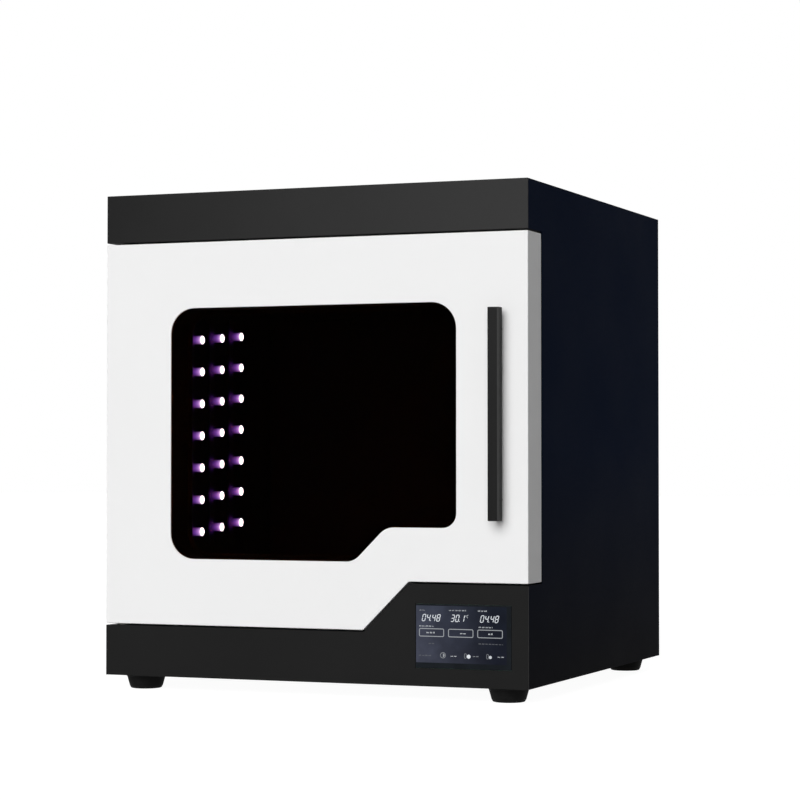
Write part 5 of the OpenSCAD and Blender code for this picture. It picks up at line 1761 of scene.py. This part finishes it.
@dataclass
class Rear:
    """The fan with its guard, the mains inlet, the fuse drawer and the switch."""

    shop: Workshop
    fan: Pair = (-110.0, 327.5)
    panel_y: float = 443.0
    wire: float = 1.0
    rings: int = 4
    bore: float = 37.5
    eye: float = 35.75
    hub_r: float = 16.0
    tip_r: float = 35.5
    rotor_y: Pair = (422.8, 438.5)
    blades: int = 7
    chord: float = 19.0
    pitch: Pair = (50.0, 30.0)          # of a blade at the hub and at its tip, in degrees
    camber: float = 1.2
    blade_half: float = 0.75            # half the thickness of a blade at its root
    ring_points: int = 56
    wire_points: int = 25
    rocker: Triple = (92.0, 442.5, 48.0)
    rocker_r: float = 9.0
    rocker_half: float = 7.0
    tilt: float = math.radians(9)

    def build(self) -> None:
        """Builds the rear fittings."""
        self.guard()
        self.rotor()
        self.power_rocker()
        for node, body in (("fan_frame", Body.CABINET), ("mains_inlet", Body.CABINET),
                           ("switch_housing", Body.CABINET), ("fuse_drawer", Body.DRAWER)):
            self.shop.rounded(node, "black_plastic", body, 0.35)
        self.shop.rounded("inlet_pins", "brass", width=0.3)

    def guard(self) -> None:
        """Bends the guard's rings, its crossed wires and the eyes of its corners."""
        x, z = self.fan
        form = self.shop.form()
        a = np.arange(self.ring_points) * 2 * math.pi / self.ring_points
        y_ring, y_wire = self.panel_y + 3 * self.wire, self.panel_y + 1.1 * self.wire
        for i in range(1, self.rings + 1):
            r = self.bore * i / self.rings - 2 * self.wire
            form.tube(np.stack([x + r * np.cos(a), np.full(len(a), y_ring),
                                z + r * np.sin(a)], 1), self.wire, 10, True)
        s = np.linspace(-1, 1, self.wire_points)
        for sign in (-1, 1):
            form.tube(np.stack([x + s * self.eye, np.full(len(s), y_wire),
                                z + sign * s * self.eye], 1), self.wire, 10)
        eye_t = 2 * self.wire
        eye = [(0, 0.0), (3.7, 0.0), (4.0, 0.3), (4.0, eye_t - 0.3), (3.7, eye_t), (0, eye_t)]
        bolt = [(0, -29.9), (2.8, -29.9), (2.8, -27.0), (1.5, -27.0), (1.5, eye_t), (0, eye_t)]
        screws = self.shop.form()
        for sx in (-1, 1):
            for sz in (-1, 1):
                ex, ez = x + sx * self.eye, z + sz * self.eye
                form.turned(eye, (ex, self.panel_y, ez), 1, 24)
                cross_screw(screws, ex, ez, self.panel_y + eye_t, 2.8, 1.8)
                screws.turned(bolt, (ex, self.panel_y, ez), 1, 16)
        self.shop.piece("fan_guard_wires", form, Body.CABINET, "bright_wire", ["fan_guard"])
        self.shop.piece("fan_screws_turned", screws, Body.CABINET, "screw_steel",
                        ["fan_screws"])

    def rotor(self) -> None:
        """Forms the hub cup and its blades.

        A blade's section at radius r is a cambered strip. For s from -1 to 1 it stands at
        angle t + s * chord * cos(p) / 2r and depth 0.9 * s * chord * sin(p) / 2 + camber *
        (1 - s^2), with the pitch p falling from hub to tip. It is thinner at its two edges
        and towards its tip.
        """
        x, z = self.fan
        y0, y1 = self.rotor_y
        mid, hub = (y0 + y1) / 2, self.hub_r
        form = self.shop.form()
        form.turned([(2.55, y0 + 11.5), (2.55, y0), (hub - 0.3, y0), (hub, y0 + 0.3),
                     (hub, y1 - 1.6), (hub - 0.5, y1 - 0.5), (hub - 1.7, y1), (0, y1)],
                    (x, 0, z), 1, 40)
        r = np.linspace(hub - 0.6, self.tip_r, 9)[:, None]
        share = (r - r[0]) / (r[-1] - r[0])
        pitch = np.radians(self.pitch[0] + (self.pitch[1] - self.pitch[0]) * share)
        s = np.linspace(-1, 1, 9)[None]
        thick = self.blade_half * (1 - 0.75 * s ** 2) * (1 - 0.35 * share)
        depth = s * self.chord * np.sin(pitch) / 2 * 0.9 + self.camber * (1 - s ** 2)
        turn = s * self.chord * np.cos(pitch) / (2 * r)
        loop_turn = np.concatenate([turn, turn[:, ::-1]], 1)
        loop_y = mid - 0.5 + np.concatenate([depth + thick, (depth - thick)[:, ::-1]], 1)
        for i in range(self.blades):
            angle = loop_turn + i * 2 * math.pi / self.blades
            rings = np.stack([x + r * np.cos(angle), loop_y, z + r * np.sin(angle)], 2)
            form.loft(rings)
        self.shop.piece("fan_rotor_moulded", form, Body.ROTOR, "black_plastic", ["fan_rotor"])

    def power_rocker(self) -> None:
        """Shapes the rocker's two-slope face and its marks, tilted to its resting side."""
        x, y, z = self.rocker
        r, half = self.rocker_r, self.rocker_half
        a = np.linspace(-1, 1, 13)
        crown = 1.8 + 1.0 * (1 - np.abs(a)) - 0.25 * np.cos(a * math.pi) ** 2
        face = np.stack([y + crown, z + a * (r - 0.2)], 1)
        back = np.array([[y - 3.5, z + r - 0.9], [y - 3.5, z - r + 0.9]])
        side = np.concatenate([face[::-1], back[::-1]])
        form = self.shop.form()
        rings = []
        centre = side.mean(0)
        for w, squeeze in ((-half, 0.96), (-half + 0.4, 1.0), (half - 0.4, 1.0), (half, 0.96)):
            loop = centre + (side - centre) * squeeze
            rings.append(np.concatenate([np.full((len(loop), 1), x + w), loop], 1))
        form.loft(np.array(rings))
        pin = self.rocker_half + 1.6
        form.turned([(0, -pin), (0.8, -pin), (1.0, 0.2 - pin), (1.0, pin - 0.2), (0.8, pin),
                     (0, pin)], (x, y, z), 0, 20)
        c, s = math.cos(-self.tilt), math.sin(-self.tilt)
        turn = np.array([[1, 0, 0], [0, c, -s], [0, s, c]])
        form.moved(turn, (x, y, z))
        self.shop.piece("rocker_moulded", form, Body.ROCKER, "black_plastic", ["power_rocker"])
        marks = self.shop.form()
        root, top = y + 0.5, y + 2.25
        line, high = 0.35, (z + 3.4, z + 6.6)
        marks.shaped([[x - line, high[0]], [x + line, high[0]], [x + line, high[1]],
                      [x - line, high[1]]], root, top, Plane.FRONT, 1.0)
        ring = disc(x, z - 5.2, 1.7)
        marks.section([(ring, 0.0, root), (ring, 0.0, top), (ring, 0.55, top),
                       (ring, 0.55, root)], along=True)
        marks.moved(turn, (x, y, z))
        self.shop.piece("rocker_marks", marks, Body.ROCKER, "nylon")


@dataclass
class Inside:
    """Parts behind the chamber and on the base pan, in their CAD shapes."""

    shop: Workshop

    def build(self) -> None:
        """Rounds the edges of the folded parts and gives every part its finish."""
        for node in ("display_bracket", "floor_rails", "motor_bracket", "power_supply"):
            self.shop.rounded(node, "zinc_steel", width=0.25)
        self.shop.rounded("lamp_driver", "heatsink", width=0.3)
        self.shop.dress("circuit_board", "display_module", "control_board")
        self.shop.dress("brass", "board_standoffs")
        self.shop.dress("zinc_steel", "turntable_motor")


@dataclass
class Studio:
    """The floor, the lights, the world and the camera."""

    eye: Triple = (0.9819, -2.4055, 0.2320)
    yaw: float = math.radians(22.042)
    pitch: float = math.radians(1.367)
    lens: float = 110.58
    sensor: float = 36.0
    sky: float = 0.04
    key: float = 2.93
    key_from: Triple = (0.03, -1.0, 0.40)
    key_angle: float = 50.0
    back: float = 0.8
    back_from: Triple = (-0.5, 1.0, 0.7)
    back_angle: float = 60.0
    floor_half: float = 12.0            # in metres
    floor_drop: float = 0.0002          # below the feet, in metres
    floor_grey: float = 0.50            # of the floor as it lights the object
    seen_grey: float = 0.20             # of the floor as it is seen, which keeps the shadow
    seen_glow: float = 0.96

    def build(self) -> None:
        """Builds the studio."""
        self.floor()
        self.world()
        self.sun("key_light", self.key, self.key_from, self.key_angle)
        self.sun("back_light", self.back, self.back_from, self.back_angle)
        self.camera()

    def sun(self, name: str, strength: float, towards: Triple, angle: float) -> None:
        """Adds a soft distant light that stands in a direction from the object.

        Args:
            name: the light's name.
            strength: its strength.
            towards: the direction from the object to it.
            angle: how wide it looks, in degrees.
        """
        lamp = bpy.data.lights.new(name, "SUN")
        lamp.energy = strength
        lamp.angle = math.radians(angle)
        obj = bpy.data.objects.new(name, lamp)
        x, y, z = towards
        obj.rotation_euler = (math.atan2(math.hypot(x, y), z), 0.0,
                              math.atan2(y, x) + math.pi / 2)
        bpy.context.scene.collection.objects.link(obj)

    def camera(self) -> None:
        """Stands the camera at the photograph's angle."""
        data = bpy.data.cameras.new("camera")
        data.lens = self.lens
        data.sensor_width = self.sensor
        data.clip_end = 100.0
        obj = bpy.data.objects.new("camera", data)
        obj.location = self.eye
        obj.rotation_euler = (math.pi / 2 + self.pitch, 0.0, self.yaw)
        bpy.context.scene.collection.objects.link(obj)
        bpy.context.scene.camera = obj

    @staticmethod
    def seen(nodes: bpy.types.Nodes, links: bpy.types.NodeLinks) -> bpy.types.NodeSocket:
        """Returns 1 for camera, glossy and transmission rays.

        Args:
            nodes: nodes of the material or the world.
            links: their links.

        Returns:
            The output.
        """
        path = nodes.new("ShaderNodeLightPath")
        total = path.outputs["Is Camera Ray"]
        for name in ("Is Glossy Ray", "Is Transmission Ray"):
            node = nodes.new("ShaderNodeMath")
            node.operation = "MAXIMUM"
            links.new(total, node.inputs[0])
            links.new(path.outputs[name], node.inputs[1])
            total = node.outputs[0]
        return total

    def world(self) -> None:
        """Makes a white background that lights the object more softly than it looks."""
        world = bpy.data.worlds.new("studio")
        world.use_nodes = True
        bpy.context.scene.world = world
        nodes, links = world.node_tree.nodes, world.node_tree.links
        sky = next(n for n in nodes if n.type == "BACKGROUND")
        amount = nodes.new("ShaderNodeMapRange")
        links.new(self.seen(nodes, links), amount.inputs["Value"])
        amount.inputs["To Min"].default_value = self.sky
        amount.inputs["To Max"].default_value = 1.0
        links.new(amount.outputs["Result"], sky.inputs["Strength"])
        sky.inputs["Color"].default_value = (1, 1, 1, 1)

    def floor(self) -> None:
        """Lays a pale floor that keeps a soft shadow and meets the white background."""
        along = np.linspace(-self.floor_half, self.floor_half, 5)
        x, y = np.meshgrid(along, along)
        points = np.stack([x.ravel(), y.ravel(), np.full(x.size, -self.floor_drop)], 1)
        index = np.arange(x.size).reshape(x.shape)
        faces = np.stack([index[:-1, :-1], index[:-1, 1:], index[1:, 1:], index[1:, :-1]], -1)
        mesh = bpy.data.meshes.new("floor")
        mesh.from_pydata(points.tolist(), [], faces.reshape(-1, 4).tolist())
        obj = bpy.data.objects.new("floor", mesh)
        bpy.context.scene.collection.objects.link(obj)
        material = bpy.data.materials.new("floor")
        material.use_nodes = True
        nodes, links = material.node_tree.nodes, material.node_tree.links
        nodes.clear()
        out = nodes.new("ShaderNodeOutputMaterial")
        matt, seen_matt = nodes.new("ShaderNodeBsdfDiffuse"), nodes.new("ShaderNodeBsdfDiffuse")
        matt.inputs["Color"].default_value = (*[self.floor_grey] * 3, 1)
        seen_matt.inputs["Color"].default_value = (*[self.seen_grey] * 3, 1)
        glow, both, pick = (nodes.new("ShaderNodeEmission"), nodes.new("ShaderNodeAddShader"),
                            nodes.new("ShaderNodeMixShader"))
        glow.inputs["Strength"].default_value = self.seen_glow
        links.new(seen_matt.outputs[0], both.inputs[0])
        links.new(glow.outputs[0], both.inputs[1])
        links.new(self.seen(nodes, links), pick.inputs[0])
        links.new(matt.outputs[0], pick.inputs[1])
        links.new(both.outputs[0], pick.inputs[2])
        links.new(pick.outputs[0], out.inputs["Surface"])
        mesh.materials.append(material)


def main() -> None:
    """Builds the studio and every sub-assembly."""
    logging.basicConfig(level=logging.INFO, format="%(name)s: %(message)s")
    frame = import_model()
    place = Place(float(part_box("base_fascia")[0][1]), float(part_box("base_pan")[0][2]))
    shop = Workshop(frame, place)
    Studio().build()
    for part in (Case(shop), Door(shop), Lamps(shop), Display(shop), Chamber(shop), Rear(shop),
                 Inside(shop)):
        part.build()
    bpy.context.scene.view_settings.view_transform = "Standard"


if __name__ == "__main__":
    main()
